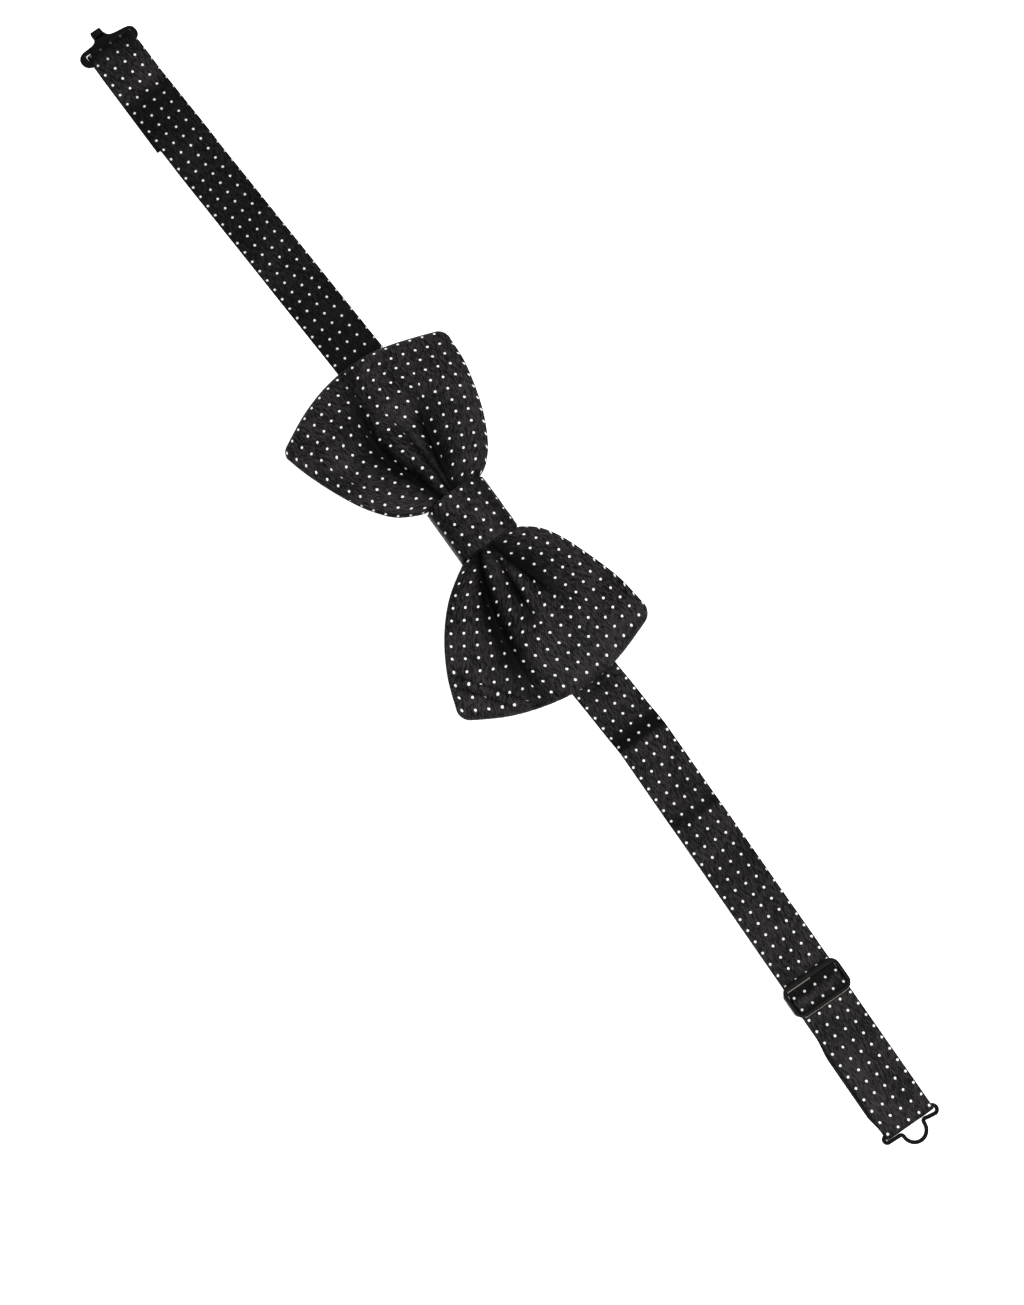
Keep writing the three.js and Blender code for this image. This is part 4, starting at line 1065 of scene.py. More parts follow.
def strap_surface(path, columns=26, edge_steps=4, width=BAND_WIDTH, thick=BAND_THICK):
    """A stretch of the neckband with its thickness, and its map.

    The section is flat with half-round edges and a slight crown. It is carried along the
    side view, across the centre line's heading, and kept from going through the floor. The
    map is the length along the path and the length round the section, with the second one
    shifted and spread by the drift of the dots.
    """
    along, up, shift, run = path.T
    thick = np.broadcast_to(np.asarray(thick, float), along.shape)
    point, heading = band_frame(along)
    slope = unit(np.gradient(path[:, :2], axis=0))
    flat, lift, bulge = flat_section(columns, edge_steps)
    half = thick[:, None] / 2
    reach = width / 2 - half
    aside = flat[None] * reach + bulge[None] * half + shift[:, None]
    outward = 1 if along[0] >= 0 and along[-1] >= 0 else -1
    rise = lift[None] * half + CLOTH_CROWN * (lift > 0)[None] * (1 - flat[None] ** 2)
    rise = rise * outward
    push = -slope[:, 1:2] * rise
    x = point[:, :1] + heading[:, :1] * push - heading[:, 1:] * aside
    y = point[:, 1:] + heading[:, 1:] * push + heading[:, :1] * aside
    z = np.maximum(up[:, None] + slope[:, :1] * rise, 0)
    points = np.stack([x, y, z], axis=-1)
    turn = np.linspace(0, np.pi, edge_steps + 2)[1:-1] * half.mean()
    top = np.linspace(-1, 1, columns) * reach.mean()
    edge = reach.mean()
    around = np.pi * half.mean()
    below = edge + around + edge - top[::-1]
    v = np.concatenate([top, edge + turn, below, turn - edge - around, [-edge]])
    u = np.broadcast_to(run[:, None], (len(run), len(v)))
    drifted = (v[None] - eased(DOT_DRIFT, along)[:, None]) / eased(DOT_SPREAD, along)[:, None]
    return points, np.stack([u, drifted], axis=-1)


def stretch(path, start, end, back=False):
    """The stations of a path between two distances, with the cuts exactly at both."""
    furthest = np.argmax(np.abs(path[:, 0]))
    part = path[furthest:] if back else path[: furthest + 1]
    sense = np.sign(part[-1, 0] - part[0, 0])
    marks = part[:, 0] * sense
    inside = part[(marks > start * sense + 0.05) & (marks < end * sense - 0.05)]
    cut = [
        [np.interp(at * sense, marks, part[:, k]) for k in range(4)] for at in (start, end)
    ]
    return np.vstack([cut[0], inside, cut[1]])


def on_line(distance, height=1.0):
    """A point of the neckband's centre line in metres."""
    point, _ = band_frame(distance)
    return (float(point[0]) * MM, float(point[1]) * MM, height * MM)


def strap_piece(name, path, material, held="laid", rests_on=(), **section):
    """A stretch of the neckband as a piece, with its silk and its marks.

    The dots fade where the cloth rounds its edges, as painted shade there, and vanish at the
    seam, which is the last column of the section. A sheet shorter than the shortest that can
    be declared gets that length, because its cloth runs on under the pieces beside it.
    """
    points, uv = strap_surface(path, **section)
    along = np.broadcast_to(path[:, :1], points.shape[:2])
    _, lift, bulge = flat_section(section.get("columns", 26))
    # Painted shade on the cloth's rounded edges fades the dots there; at the seam they vanish.
    fading = 0.7 * (bulge > 0.2)
    seam = len(lift) - np.count_nonzero(bulge < -0.001)
    fading[seam - 1: seam + 1] = 1
    # Painted shade in the hook's slot darkens the fold there and fades its dots.
    in_slot = eased(SLOT_SHADE, along)
    dots_faded = np.maximum(fading[None], 0.9 * in_slot)
    # Painted shade underneath, and painted shade along the band from BAND_SHADE.
    under = np.broadcast_to(0.5 * (lift < -0.9)[None], points.shape[:2])
    painted_shade = np.maximum(np.maximum(eased(BAND_SHADE, along), under), in_slot)
    made = mesh_piece(name, points, uv, marks={SHADE_MARK: painted_shade, DOT_FADE_MARK: dots_faded})
    dress(made, material)
    return made


def bending_stretches(path, rows, silk):
    """Makes the stretches of a strap in place of the CAD's stretches, and hides those."""
    for name, start, end, stretch_of, before, after, bend in rows:
        rests_on = [] if start else ["knot_band"]
        strap = strap_piece(name, stretch(path, start, end), silk, rests_on=rests_on)
        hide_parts(stretch_of + "_silk", stretch_of + "_interlining")
        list(map(on_line, bend))
        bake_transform(strap)


# ------------------------------------------------------------------ knot


def knot_path():
    """Section of the knot square to the neckband: distance across, height, length so far.

    It starts at the seam underneath, follows the flat back, turns up a small corner, goes
    over the front in an arch and comes back to the seam.
    """
    half, bottom, corner = KNOT_HALF_SPAN, 0.5, 1.6
    turn = np.linspace(-np.pi / 2, 0, 9)
    arch = np.linspace(0, np.pi, 60)[1:-1]
    right = np.stack(
        [half - corner + corner * np.cos(turn), bottom + corner + corner * np.sin(turn)], axis=1
    )
    flank = np.stack([np.full(5, half), np.linspace(bottom + corner, KNOT_SHOULDER, 6)[1:]], axis=1)
    rise = np.sin(arch) ** 0.86
    over = np.stack(
        [half * np.cos(arch), KNOT_SHOULDER + (KNOT_TOP - KNOT_SHOULDER) * rise], axis=1
    )
    left = right[::-1] * (-1, 1)
    seam = KNOT_SEAM_WIDTH / 2
    from_seam = np.linspace(KNOT_SEAM_AT + seam, half - corner, 12)[:-1]
    to_seam = np.linspace(-half + corner, KNOT_SEAM_AT - seam, 6)[1:]
    start = np.stack([from_seam, np.full(11, bottom)], axis=1)
    end = np.stack([to_seam, np.full(5, bottom)], axis=1)
    path = np.vstack([start, right, flank, over, flank[::-1] * (-1, 1), left, end])
    run = np.concatenate([[0], np.cumsum(np.linalg.norm(np.diff(path, axis=0), axis=1))])
    return np.column_stack([path, run])


def knot_surface(columns=40, edge_steps=5):
    """The knot's band: a soft flat section carried round its path, waisted at the flanks."""
    path = knot_path()
    across, up, run = path.T
    slope = unit(np.gradient(path[:, :2], axis=0))
    flat, lift, bulge = flat_section(columns, edge_steps)
    half = 0.5
    on_front = np.clip((up - 6) / 6, 0, 1)
    squeeze = 1 - 0.075 * np.clip(np.abs(across) / KNOT_HALF_SPAN, 0, 1) ** 3 * (up > 3)
    reach = (KNOT_HALF_WIDTH * squeeze - half)[:, None]
    x = flat[None] * reach + bulge[None] * half
    sag = 0.55 * (np.abs(flat) ** 3)[None] * on_front[:, None]
    crease = 0.16 * np.cos(2 * np.pi * (flat[None] * 1.35 + 0.12 * np.sin(across / 4)[:, None]))
    crease = crease * on_front[:, None] * (1 - flat[None] ** 2)
    out = lift[None] * half - sag + crease
    y = KNOT_SHIFT + across[:, None] + slope[:, 1:2] * out
    z = up[:, None] - slope[:, :1] * out
    points = np.stack([x, y, z], axis=-1)
    centre_run = np.interp(0, across[::-1][20:-20], run[::-1][20:-20])
    edge = KNOT_HALF_WIDTH - half
    turn = np.linspace(0, np.pi, edge_steps + 2)[1:-1] * half
    top = np.linspace(-1, 1, columns) * edge
    around = np.pi * half
    u_ring = np.concatenate([top, edge + turn, edge + around + edge - top[::-1],
                             3 * edge + around + turn, [3 * edge + 2 * around]])
    v = np.broadcast_to((run - centre_run)[:, None], (len(run), len(u_ring)))
    return points, np.stack([np.broadcast_to(u_ring[None], v.shape), v], axis=-1)


def zigzag(start, end, swing, turns, height, dip, samples=10):
    """A thread's path between two points, swinging to both sides and dipping at each turn."""
    part = np.linspace(0, 1, turns * samples + 1)
    start, end = np.array(start, float), np.array(end, float)
    along = unit(end - start)
    wave = 2 / np.pi * np.arcsin(np.sin(2 * np.pi * part * turns / 2) * 0.985)
    depth = height - dip * np.abs(wave) ** 6
    plan = start + (end - start) * part[:, None] + swing * wave[:, None] * (-along[1], along[0])
    return np.column_stack([plan, depth])


def bar_tack(name, distance, shift, level, radius):
    """A bar tack: a close zigzag of thread across the neckband at a distance along it."""
    point, heading = band_frame(distance)
    aside = np.array([-heading[1], heading[0]])
    low, high = point + aside * (shift - TACK_REACH), point + aside * (shift + TACK_REACH)
    thread = zigzag(low, high, 0.42, 30, level, 0.1)
    return mesh_piece(name, swept(thread, circle(radius, 7)))


# ------------------------------------------------------------------ hardware


def ring_plate(outer, inner, top, bottom, bevel):
    """A plate with a hole: points of (round, section, 3).

    Two closed outlines with equal numbers of points are the plate's outside and its hole.
    At each pair of points the section is a rectangle with quarter-round corners.
    """
    reach = np.linalg.norm(outer - inner, axis=1)
    out = unit(outer - inner)
    turn = np.linspace(0, np.pi / 2, 4)
    top = np.broadcast_to(top, reach.shape)
    bottom = np.broadcast_to(bottom, reach.shape)
    from_inside, level = [], []
    corners = ((1, 1, turn[::-1]), (1, 0, turn), (0, 0, turn[::-1]), (0, 1, turn))
    for at_outer, at_top, angles in corners:
        inward = bevel * (1 - np.cos(angles))
        down = bevel * (1 - np.sin(angles))
        for a, b in zip(inward, down):
            from_inside.append(reach - a if at_outer else 0 * reach + a)
            level.append(top - b if at_top else bottom + b)
    from_inside, level = np.array(from_inside).T, np.array(level).T
    plan = inner[:, None] + out[:, None] * from_inside[..., None]
    return np.concatenate([plan, level[..., None]], axis=-1)


def rounded_outline(left, right, low, high, radius, count):
    """A rectangle with round corners, as points at equal shares of its length."""
    angle = np.linspace(0, np.pi / 2, 10)
    corner = np.stack([np.cos(angle), np.sin(angle)], axis=1) * radius
    turned = [corner, corner[:, ::-1] * (-1, 1), -corner, corner[:, ::-1] * (1, -1)]
    centres = [
        (right - radius, high - radius), (left + radius, high - radius),
        (left + radius, low + radius), (right - radius, low + radius),
    ]
    outline = np.concatenate([np.array(c) + t for c, t in zip(centres, turned)])
    return even_outline(outline, count)


def even_outline(outline, count):
    """A closed outline read at equal steps of its length."""
    closed = np.vstack([outline, outline[:1]])
    run = np.concatenate([[0], np.cumsum(np.linalg.norm(np.diff(closed, axis=0), axis=1))])
    at = np.linspace(0, run[-1], count, endpoint=False)
    return np.stack([np.interp(at, run, column) for column in closed.T], axis=1)


def matched_outline(outline, inner):
    """For each point of a hole, the outline's point that lies straight out from it.

    Of the outline's points ahead of the hole's own normal, the chosen one has the least of
    three times its distance aside of that normal plus a fifth of its distance ahead.
    """
    closed = np.vstack([outline, outline[:1]])
    fine = np.concatenate([closed[:-1] + (closed[1:] - closed[:-1]) * s for s in (0, 0.5)])
    tangent = np.roll(inner, -1, axis=0) - np.roll(inner, 1, axis=0)
    normal = unit(np.stack([tangent[:, 1], -tangent[:, 0]], axis=1))
    gap = fine[None] - inner[:, None]
    ahead = np.sum(gap * normal[:, None], axis=-1)
    aside = np.abs(gap[..., 0] * normal[:, None, 1] - gap[..., 1] * normal[:, None, 0])
    score = np.where(ahead > 0, aside * 3 + ahead * 0.2, 1e6)
    return fine[np.argmin(score, axis=1)]


def eye_wire_path():
    """The eye's wire in plan: its bar, the two ears and the loop that takes the hook.

    The bar runs across the band, each ear is a half circle, the shoulders run in to the loop
    and the loop is a half circle on a short straight part.
    """
    loop, half_span = EYE_LOOP_RADIUS, EYE_HALF_SPAN
    centre = EYE_TIP_AT - loop
    halves = []
    for ear in EYE_EARS:
        shoulder = 2 * ear
        turn = np.linspace(np.pi, 0, 22)
        ear_arc = np.stack(
            [ear + ear * np.cos(turn), half_span - ear + ear * np.sin(turn)], axis=1
        )
        bar = np.stack([np.zeros(24), np.linspace(0.2, half_span - ear, 25)[:-1]], axis=1)
        run_in = spline(
            [(shoulder, half_span - ear), (0.5 * shoulder + 1.2, loop + 2.6),
             (2.4, loop + 0.9), (2.75, loop + 0.22), (centre, loop)], np.linspace(0, 1, 30)
        )[1:-1]
        bend = np.linspace(np.pi / 2, 0, 20)
        tip = np.stack([centre + loop * np.cos(bend), loop * np.sin(bend)], axis=1)
        halves.append(np.vstack([bar, ear_arc, run_in, tip]))
    whole = np.vstack([halves[0], halves[1][:-1][::-1] * (1, -1)])
    return np.column_stack([whole, np.full(len(whole), EYE_LEVEL)])


def hook_outline(count):
    """Plan of the hook's plate, as a smooth curve through listed points.

    Two round ears stand on a straight bar side, and the outer side runs out to the middle,
    where the tab leaves it. The ear below is the larger one.
    """
    points = [
        (0.55, 0), (0.55, 5), (0.55, 8.6), (0.4, 10.0), (-0.5, 11.0), (-2.0, 11.4),
        (-3.7, 11.2), (-4.9, 10.3), (-5.5, 8.6), (-5.9, 6.0), (-6.25, 3.8), (-7.0, 2.2),
        (-8.1, 1.55), (-8.6, 1.45), (-8.6, -0.9), (-8.6, -3.15), (-8.1, -3.25), (-7.2, -3.9),
        (-6.65, -5.2), (-6.5, -7.0), (-6.4, -8.8), (-6.1, -10.4), (-5.1, -11.8), (-3.5, -12.4),
        (-1.8, -12.2), (-0.5, -11.4), (0.3, -10.2), (0.55, -8.4), (0.55, -5),
    ]
    closed = spline([*points, points[0]], np.linspace(0, 1, 400, endpoint=False))
    return even_outline(closed, count)


def hook_tab_surface():
    """The hook's tab: a flat tongue that runs out, curls under on a half circle and returns.

    A flat section with half-round edges is carried along that side view. It is a little
    narrower where the curl starts, and tapers at its end.
    """
    radius = TAB_CURL_RADIUS
    turn = TAB_TIP_AT + radius + LACQUERED_HALF
    bend = np.linspace(np.pi / 2, 3 * np.pi / 2, 22)
    lead = np.stack([np.linspace(TAB_FROM, turn, 14)[:-1], np.zeros(13)], axis=1)
    curl = np.stack([turn + radius * np.cos(bend), -radius + radius * np.sin(bend)], axis=1)
    back = np.linspace(turn, turn + TAB_RETURN, 8)[1:]
    tip = np.stack([back, np.full(7, -2 * radius)], axis=1)
    side = np.vstack([lead, curl, tip])
    run = np.concatenate([[0], np.cumsum(np.linalg.norm(np.diff(side, axis=0), axis=1))])
    slope = unit(np.gradient(side, axis=0))
    flat, lift, bulge = flat_section(10, 4)
    narrow = 1 - 0.04 * np.exp(-(((run - run[13] - 1.2) / 1.4) ** 2))
    narrow = narrow * np.interp(run, [0, run[-1] - 1.2, run[-1]], [1, 1, 0.72])
    reach = (TAB_HALF_WIDTH * narrow)[:, None]
    y = flat[None] * (reach - LACQUERED_HALF) + bulge[None] * LACQUERED_HALF + TAB_SHIFT
    up = lift[None] * LACQUERED_HALF
    x = side[:, :1] + slope[:, 1:] * up
    z = HOOK_LEVEL + side[:, 1:] - slope[:, :1] * up
    return np.stack([x, y, z], axis=-1)


def slider_surface():
    """The slider's frame, and the painted highlight lines on its walls.

    Its two rails stand over the cloth and its two sides reach down past it. The far rail's
    outer wall and the lower half of the near rail's inner wall, over the cloth, get painted
    highlight lines.
    """
    hole = rounded_outline(*SLIDER_WINDOW, SLIDER_WINDOW_CORNER, 320)
    outline = matched_outline(rounded_outline(*SLIDER_OUTLINE, SLIDER_CORNER, 1400), hole)
    on_side = np.clip((np.abs(hole[:, 1]) - SLIDER_SIDE_FROM) / 0.1, 0, 1)
    bottom = SLIDER_RAIL_BOTTOM + (SLIDER_SIDE_BOTTOM - SLIDER_RAIL_BOTTOM) * on_side
    ring = ring_plate(outline, hole, SLIDER_TOP, bottom, SLIDER_BEVEL)
    wall = np.arange(ring.shape[1])
    over_cloth = np.abs(ring[..., 1]) < HIGHLIGHT_REACH
    outer_wall = (wall > 1) & (wall < 6)
    inner_wall = wall > 9
    far_wall = (ring[..., 0] > SLIDER_OUTLINE[1] - 0.3) & outer_wall & over_cloth
    near_rail = np.abs(ring[..., 0] - SLIDER_WINDOW[0]) < 0.2
    near_wall = near_rail & inner_wall & over_cloth & (ring[..., 1] < 0)
    return ring, FAR_WALL_HIGHLIGHT * far_wall + NEAR_WALL_HIGHLIGHT * near_wall


def slider_bar_surface():
    """The slider's bar: a small rectangle with round corners carried across the band."""
    section = rounded_outline(*SLIDER_BAR_SECTION, 0.3, 24)
    across = np.linspace(-SLIDER_BAR_REACH, SLIDER_BAR_REACH, 30)
    columns = section[None, :, 0], across[:, None], section[None, :, 1]
    return np.stack([np.broadcast_to(column, (30, 24)) for column in columns], axis=-1)


# ------------------------------------------------------------------ sizes and colours


# The stage, in metres. A light is a name, a place, a width and a power.
FLOOR_REACH = 3.0
FLOOR_GAP = 0.00005
CAMERA_AIM = (0.0456, -0.0147, 0)
LIGHTS = [
    ("key", (0.35, -0.05, 1.15), 0.7, 22.0),
    ("fill", (-0.75, 0.45, 0.95), 1.0, 6.0),
]
SKY_STRENGTH = 0.3


class BowTieLooks(bpy.types.PropertyGroup):
    """Sizes and colours of the cloth and the hardware."""

    dot_pitch: bpy.props.FloatProperty(
        name="Dot pitch", description="Distance between the woven dots", default=0.0045,
        unit="LENGTH", subtype="DISTANCE",
    )
    dot_width: bpy.props.FloatProperty(
        name="Dot width", description="Width of one woven dot", default=0.00086,
        unit="LENGTH", subtype="DISTANCE",
    )
    twill_pitch: bpy.props.FloatProperty(
        name="Twill pitch", description="Distance between two ribs of the twill",
        default=0.00062, unit="LENGTH", subtype="DISTANCE",
    )
    twill_angle: bpy.props.FloatProperty(
        name="Twill angle", description="Slant of the twill's ribs to the strip, in degrees",
        default=35.0,
    )
    silk_dark: bpy.props.FloatVectorProperty(
        name="Silk, dark", description="The silk's ground where it is darkest", size=4,
        default=(0.0012, 0.0011, 0.0011, 1), subtype="COLOR", min=0, max=1,
    )
    silk_light: bpy.props.FloatVectorProperty(
        name="Silk, light", description="The silk's ground where it is lightest", size=4,
        default=(0.0225, 0.0200, 0.0205, 1), subtype="COLOR", min=0, max=1,
    )
    dot_colour: bpy.props.FloatVectorProperty(
        name="Dots", description="Thread of the woven dots", size=4,
        default=(0.70, 0.70, 0.69, 1), subtype="COLOR", min=0, max=1,
    )
    thread_colour: bpy.props.FloatVectorProperty(
        name="Thread", description="Sewing thread", size=4,
        default=(0.012, 0.011, 0.011, 1), subtype="COLOR", min=0, max=1,
    )
    lacquer_colour: bpy.props.FloatVectorProperty(
        name="Lacquer", description="Lacquer of the hook, the eye and the slider", size=4,
        default=(0.0028, 0.0027, 0.0026, 1), subtype="COLOR", min=0, max=1,
    )
    # Tone of the worn edges, also made lighter for the painted highlight lines on the slider.
    wear_and_highlight_colour: bpy.props.FloatVectorProperty(
        name="Worn edge", description="Tone of the lacquer's worn edges", size=4,
        default=(0.16, 0.14, 0.115, 1), subtype="COLOR", min=0, max=1,
    )


class BowTieStage(bpy.types.PropertyGroup):
    """Camera and floor."""

    camera_distance: bpy.props.FloatProperty(
        name="Camera distance", description="From the point it looks at", default=0.8792,
        unit="LENGTH", subtype="DISTANCE",
    )
    camera_tilt: bpy.props.FloatProperty(
        name="Camera tilt", description="Lean of the camera from straight down",
        default=float(np.radians(12.85)), unit="ROTATION", subtype="ANGLE",
    )
    camera_turn: bpy.props.FloatProperty(
        name="Camera turn", description="Turn of the tie in the view",
        default=float(np.radians(55.0)), unit="ROTATION", subtype="ANGLE",
    )
    camera_lens: bpy.props.FloatProperty(
        name="Lens", description="Focal length on a 36 mm side", default=70.0, unit="CAMERA",
    )
    floor_colour: bpy.props.FloatVectorProperty(
        name="Floor", description="The pale floor", size=4, default=(0.93, 0.93, 0.93, 1),
        subtype="COLOR", min=0, max=1,
    )


def looks_of(context):
    """The scene's sizes and colours of the cloth and the hardware."""
    return context.scene.bow_tie_looks


def material(name, make):
    """A material by name, made the first time it is asked for."""
    return bpy.data.materials.get(name) or make()


def band_silk(context):
    """The neckband's silk."""
    return material("band_silk", lambda: silk_finish("band_silk", looks_of(context)))


def lacquer(context):
    """The lacquer of the hook, the slider and the eye."""
    looks = looks_of(context)
    return material(
        "lacquer", lambda: lacquer_finish("lacquer", looks.lacquer_colour, looks.wear_and_highlight_colour)
    )


def sewing_thread(context):
    """The thread of every seam, tack and binding."""
    return material(
        "sewing_thread", lambda: thread_finish("sewing_thread", looks_of(context).thread_colour)
    )


# ------------------------------------------------------------------ operators


class BOWTIE_OT_bow(bpy.types.Operator):
    """Makes the bow's silk loop, with the folds that are gathered in the knot"""

    bl_idname = "bowtie.bow"
    bl_label = "Bow"

    def execute(self, context):
        points, uv, marks = bow_surface()
        bow = mesh_piece("bow_loop", points, uv, sharp=70, marks=marks)
        looks = looks_of(context)
        silk = material("bow_silk", lambda: silk_finish("bow_silk", looks, BOW_DOT_SHIFT))
        dress(bow, silk)
        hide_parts("bow_silk", "bow_canvas")
        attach(bow, "bow")
        for node in ("waist_binding", "bow_back_seam"):
            dress(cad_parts[node], sewing_thread(context))
        return {"FINISHED"}


class BOWTIE_OT_knot(bpy.types.Operator):
    """Makes the knot's band and the stitches that close it at the back"""

    bl_idname = "bowtie.knot"
    bl_label = "Knot"

    def execute(self, context):
        points, uv = knot_surface()
        # Painted shade that darkens the knot's band towards both flanks, where it curves away.
        flank = np.abs(points[..., 1] - KNOT_SHIFT) / KNOT_HALF_SPAN
        marks = {SHADE_MARK: np.clip((flank - 0.35) * 1.1, 0, 0.75)}
        knot = mesh_piece("knot_band", points, uv, marks=marks)
        looks = looks_of(context)
        silk = material("knot_silk", lambda: silk_finish("knot_silk", looks, KNOT_DOT_SHIFT))
        dress(knot, silk)
        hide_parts("knot_silk", "knot_interlining")
        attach(knot, "bow")
        y = KNOT_SHIFT + KNOT_SEAM_AT
        seam = zigzag((-10.6, y), (10.6, y), 0.95, 26, 0.42, 0.12)
        stitches = mesh_piece("knot_stitches", swept(seam, circle(0.2, 8)))
        core = np.column_stack([np.linspace(-10.9, 10.9, 40), np.full(40, y), np.full(40, 0.62)])
        cord = mesh_piece("knot_cord", swept(core, circle(0.42, 10)))
        stitches = joined("knot_stitches", [stitches, cord])
        dress(stitches, sewing_thread(context))
        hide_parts("knot_seam")
        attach(stitches, "bow")
        return {"FINISHED"}


class BOWTIE_OT_hook_strap(bpy.types.Operator):
    """Makes the hook's half of the neckband, in stretches that meet end to end"""

    bl_idname = "bowtie.hook_strap"
    bl_label = "Hook's strap"

    def execute(self, context):
        path = hook_path()
        silk = band_silk(context)
        bending_stretches(path, HOOK_STRETCHES, silk)
        furthest = np.argmax(np.abs(path[:, 0]))
        last = np.vstack([stretch(path, HOOK_END_FROM, path[furthest, 0]), path[furthest + 1:]])
        end = strap_piece("hook_strap_end", last, silk, "folded", ["hook_plate_detail"])
        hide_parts("hook_band_end_silk", "hook_band_end_interlining")
        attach(end, "hook_band_end")
        tack = bar_tack("hook_tack", HOOK_TAIL_END + 0.5, TAIL_SLANT, 0.45, 0.17)
        dress(tack, sewing_thread(context))
        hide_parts("hook_bartack")
        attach(tack, "hook_band_end")
        return {"FINISHED"}


class BOWTIE_OT_adjuster_strap(bpy.types.Operator):
    """Makes the slider's half of the neckband, with its fold round the eye and its sewn tail"""

    bl_idname = "bowtie.adjuster_strap"
    bl_label = "Slider's strap"

    def execute(self, context):
        path = adjuster_path()
        silk = band_silk(context)
        bending_stretches(path, ADJUSTER_STRETCHES, silk)
        run = strap_piece("adjuster_top_strap", stretch(path, TOP_RUN_SEAM_AT, FOLD_SEAM_AT),
                          silk, "stretched", ["slider_frame_detail"])
        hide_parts("adjuster_band_end_silk", "adjuster_band_end_interlining",
                    "adjuster_top_run_silk", "adjuster_top_run_interlining")
        on_line(TOP_RUN_SEAM_AT + 3)
        on_line(FOLD_SEAM_AT - 2)
        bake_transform(run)

        furthest = np.argmax(np.abs(path[:, 0]))
        front = stretch(path, FOLD_SEAM_AT, path[furthest, 0])
        behind = stretch(path, path[furthest, 0], RETURN_SEAM_AT, back=True)
        fold_path = np.vstack([front, behind[1:]])
        thinning = [front[0, 3] + 1.0, front[-1, 3]]
        thick = np.interp(fold_path[:, 3], thinning, [BAND_THICK, TAIL_THICK])
        fold = strap_piece("eye_fold_strap", fold_path, silk, "folded", ["eye_wire_detail"],
                           thick=thick)
        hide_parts("eye_fold_silk")
        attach(fold, "eye_fold")
        returning = stretch(path, RETURN_SEAM_AT, TAIL_START, back=True)
        back = strap_piece("adjuster_return_strap", returning, silk, thick=TAIL_THICK)
        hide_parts("adjuster_return_run")
        on_line(RETURN_SEAM_AT - 1)
        on_line(TAIL_START + 1)
        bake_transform(back)
        behind = path[furthest + 1:]
        turn = np.argmin(behind[:, 0])
        tail_run = np.interp(-TAIL_START, -behind[:turn, 0], behind[:turn, 3])
        tail = behind[behind[:, 3] >= tail_run]
        loop = strap_piece("slider_tail_strap", tail, silk, "folded", ["slider_frame_detail"],
                           thick=TAIL_THICK)
        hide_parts("slider_tail_loop")
        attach(loop, "slider")

        # The band humps up over the slider's bar and fills its window.
        bar = np.linspace(SLIDER_WINDOW[0] + 0.05, SLIDER_WINDOW[1] - 0.05, 40)
        hump = HUMP_FOOT + HUMP_RISE * np.exp(-(((bar - HUMP_AT) / HUMP_REACH) ** 2))
        window = np.column_stack([SLIDER_AT + bar, hump, 0 * bar, SLIDER_AT + bar])
        slack = strap_piece("slider_window_strap", window, silk, "folded", ["slider_frame_detail"],
                            thick=HUMP_THICK)
        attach(slack, "slider")

        tack = bar_tack("slider_tack", TAIL_START - 2.5, 0, 1.36, 0.15)
        dress(tack, sewing_thread(context))
        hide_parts("slider_bartack")
        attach(tack, "slider")
        return {"FINISHED"}


class BOWTIE_OT_hook(bpy.types.Operator):
    """Makes the flat hook with its slot for the band and its curled tab"""

    bl_idname = "bowtie.hook"
    bl_label = "Hook"

    def execute(self, context):
        hole = rounded_outline(*HOOK_SLOT, HOOK_SLOT_CORNER, 260)
        slit = np.exp(-(((hole[:, 1] - SLIT_AT) / SLIT_HALF) ** 4)) * (hole[:, 0] < -2.4)
        hole[:, 0] -= SLIT_DEPTH * slit
        outline = matched_outline(hook_outline(1200), hole)
        top, bottom = HOOK_LEVEL + LACQUERED_HALF, HOOK_LEVEL - LACQUERED_HALF
        ring = ring_plate(outline, hole, top, bottom, HOOK_BEVEL)
        plate = mesh_piece("hook_plate_detail", place_on_band(ring, HOOK_BAR_AT), closed=True)
        tab = mesh_piece("hook_tab", place_on_band(hook_tab_surface(), HOOK_BAR_AT))
        hook = joined("hook_plate_detail", [plate, tab])
        dress(hook, lacquer(context))
        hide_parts("hook_plate")
        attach(hook, "hook")
        return {"FINISHED"}


class BOWTIE_OT_slider(bpy.types.Operator):
    """Makes the slider: two rails over the band and a bar under it"""

    bl_idname = "bowtie.slider"
    bl_label = "Slider"

    def execute(self, context):
        ring, painted_highlight = slider_surface()
        body = mesh_piece(
            "slider_frame_detail", place_on_band(ring, SLIDER_AT), closed=True, sharp=60,
            marks={HIGHLIGHT_MARK: painted_highlight},
        )
        rod = mesh_piece("slider_bar", place_on_band(slider_bar_surface(), SLIDER_AT))
        slider = joined("slider_frame_detail", [body, rod])
        dress(slider, lacquer(context))
        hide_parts("slider_frame")
        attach(slider, "slider")
        return {"FINISHED"}


class BOWTIE_OT_eye(bpy.types.Operator):
    """Makes the wire eye that the hook closes in"""

    bl_idname = "bowtie.eye"
    bl_label = "Eye"

    def execute(self, context):
        wire = swept(eye_wire_path(), circle(EYE_WIRE_RADIUS, 18))
        eye = mesh_piece("eye_wire_detail", place_on_band(wire, EYE_BAR_AT))
        dress(eye, lacquer(context))
        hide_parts("eye_wire")
        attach(eye, "eye")
        return {"FINISHED"}


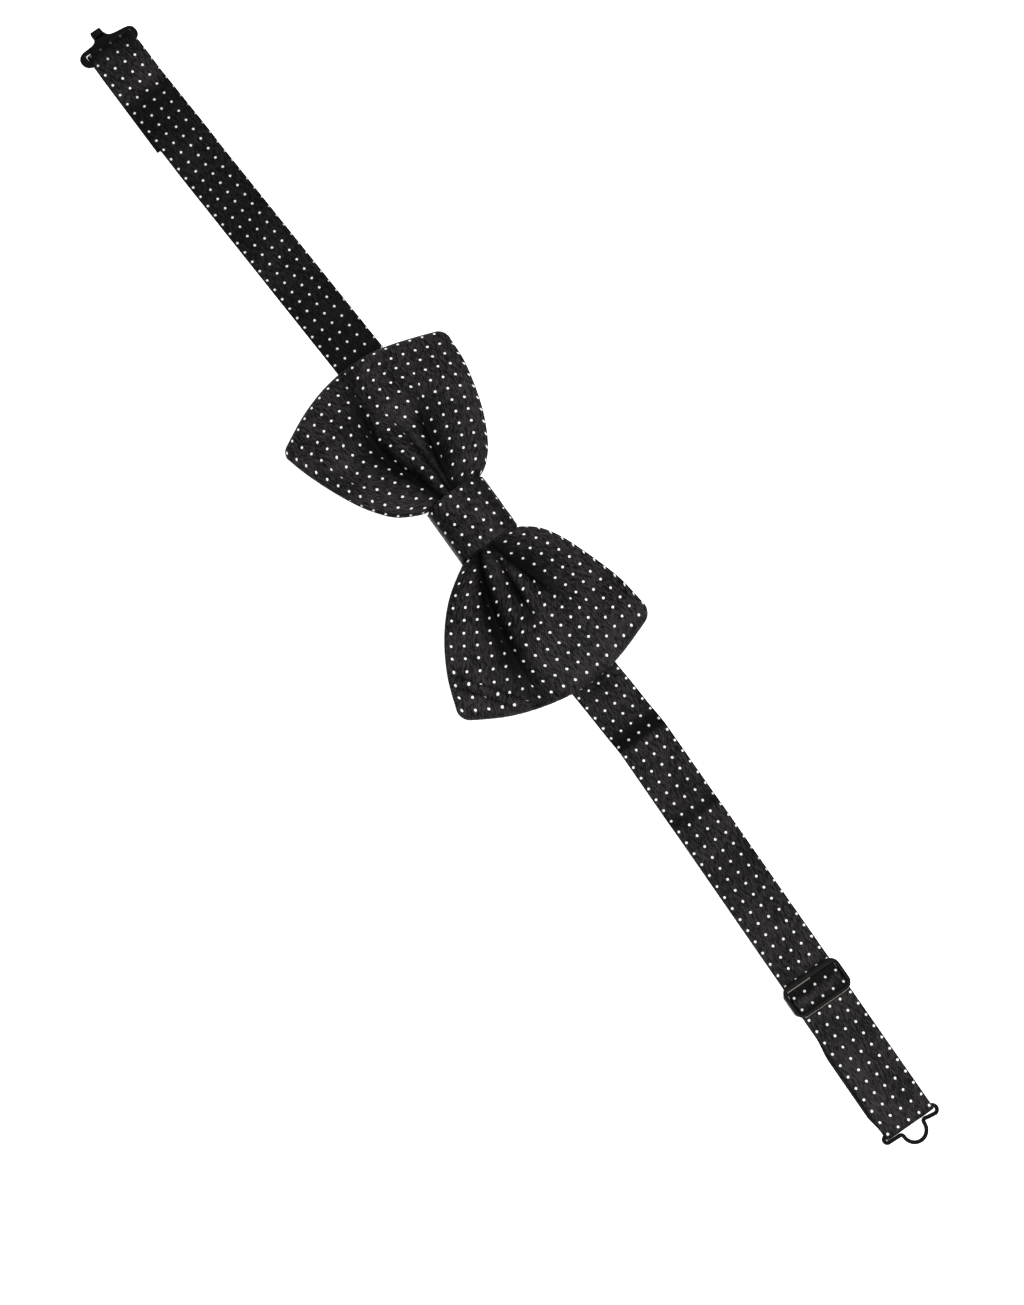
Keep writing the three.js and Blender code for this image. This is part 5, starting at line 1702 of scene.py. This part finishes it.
class BOWTIE_OT_stage(bpy.types.Operator):
    """Makes the pale floor, the soft lights and the camera"""

    bl_idname = "bowtie.stage"
    bl_label = "Stage"

    def execute(self, context):
        stage = context.scene.bow_tie_stage
        mesh = bpy.data.meshes.new("floor")
        ways = [(-1, -1), (1, -1), (1, 1), (-1, 1)]
        corners = [(FLOOR_REACH * x, FLOOR_REACH * y, 0) for x, y in ways]
        mesh.from_pydata(corners, [], [(0, 1, 2, 3)])
        floor = bpy.data.objects.new("floor", mesh)
        context.scene.collection.objects.link(floor)
        floor.location.z = -FLOOR_GAP
        floor.data.materials.append(floor_finish("floor", stage.floor_colour))

        tilt, turn = stage.camera_tilt, stage.camera_turn
        right = np.array([np.cos(turn), np.sin(turn), 0])
        away = np.array([-np.sin(turn), np.cos(turn), 0])
        up = np.cos(tilt) * away + np.sin(tilt) * np.array([0, 0, 1])
        back = np.cos(tilt) * np.array([0, 0, 1]) - np.sin(tilt) * away
        place = np.array(CAMERA_AIM) + back * stage.camera_distance
        data = bpy.data.cameras.new("camera")
        data.lens = stage.camera_lens
        data.sensor_width = 36
        camera = bpy.data.objects.new("camera", data)
        columns = np.eye(4)
        columns[:3, 0], columns[:3, 1], columns[:3, 2], columns[:3, 3] = right, up, back, place
        camera.matrix_world = columns.T.tolist()
        context.scene.collection.objects.link(camera)
        context.scene.camera = camera

        for name, where, size, power in LIGHTS:
            light = bpy.data.lights.new(name, "AREA")
            light.shape = "DISK"
            light.size = size
            light.energy = power
            lamp = bpy.data.objects.new(name, light)
            toward = unit(np.array(where))
            side = unit(np.cross((0, 0, 1), toward))
            turned = np.eye(4)
            turned[:3, 0], turned[:3, 1] = side, np.cross(toward, side)
            turned[:3, 2], turned[:3, 3] = toward, where
            lamp.matrix_world = turned.T.tolist()
            context.scene.collection.objects.link(lamp)
        world = bpy.data.worlds.new("studio")
        world.use_nodes = True
        sky = world.node_tree.nodes["Background"]
        sky.inputs["Color"].default_value = (1, 1, 1, 1)
        sky.inputs["Strength"].default_value = SKY_STRENGTH
        context.scene.world = world
        context.scene.view_settings.view_transform = "Standard"
        return {"FINISHED"}


class BOWTIE_PT_panel(bpy.types.Panel):
    """Lists the steps that build the tie"""

    bl_idname = "BOWTIE_PT_panel"
    bl_label = "Bow tie"
    bl_space_type = "VIEW_3D"
    bl_region_type = "UI"
    bl_category = "Bow tie"

    def draw(self, context):
        column = self.layout.column()
        for step in STEPS:
            column.operator(step.bl_idname)
        for group in (context.scene.bow_tie_looks, context.scene.bow_tie_stage):
            for name in group.__annotations__:
                column.prop(group, name)


STEPS = (
    BOWTIE_OT_bow,
    BOWTIE_OT_knot,
    BOWTIE_OT_hook_strap,
    BOWTIE_OT_adjuster_strap,
    BOWTIE_OT_hook,
    BOWTIE_OT_slider,
    BOWTIE_OT_eye,
    BOWTIE_OT_stage,
)
CLASSES = (BowTieLooks, BowTieStage, *STEPS, BOWTIE_PT_panel)


def register():
    """Adds the classes and the scene's two groups of settings."""
    for each in CLASSES:
        bpy.utils.register_class(each)
    bpy.types.Scene.bow_tie_looks = bpy.props.PointerProperty(type=BowTieLooks)
    bpy.types.Scene.bow_tie_stage = bpy.props.PointerProperty(type=BowTieStage)


def unregister():
    """Takes away what register added."""
    del bpy.types.Scene.bow_tie_stage
    del bpy.types.Scene.bow_tie_looks
    for each in reversed(CLASSES):
        bpy.utils.unregister_class(each)


def main():
    """Builds every piece and the stage."""
    register()
    bpy.ops.bowtie.bow()
    bpy.ops.bowtie.knot()
    bpy.ops.bowtie.hook_strap()
    bpy.ops.bowtie.adjuster_strap()
    bpy.ops.bowtie.hook()
    bpy.ops.bowtie.slider()
    bpy.ops.bowtie.eye()
    bpy.ops.bowtie.stage()


if __name__ == "__main__":
    main()
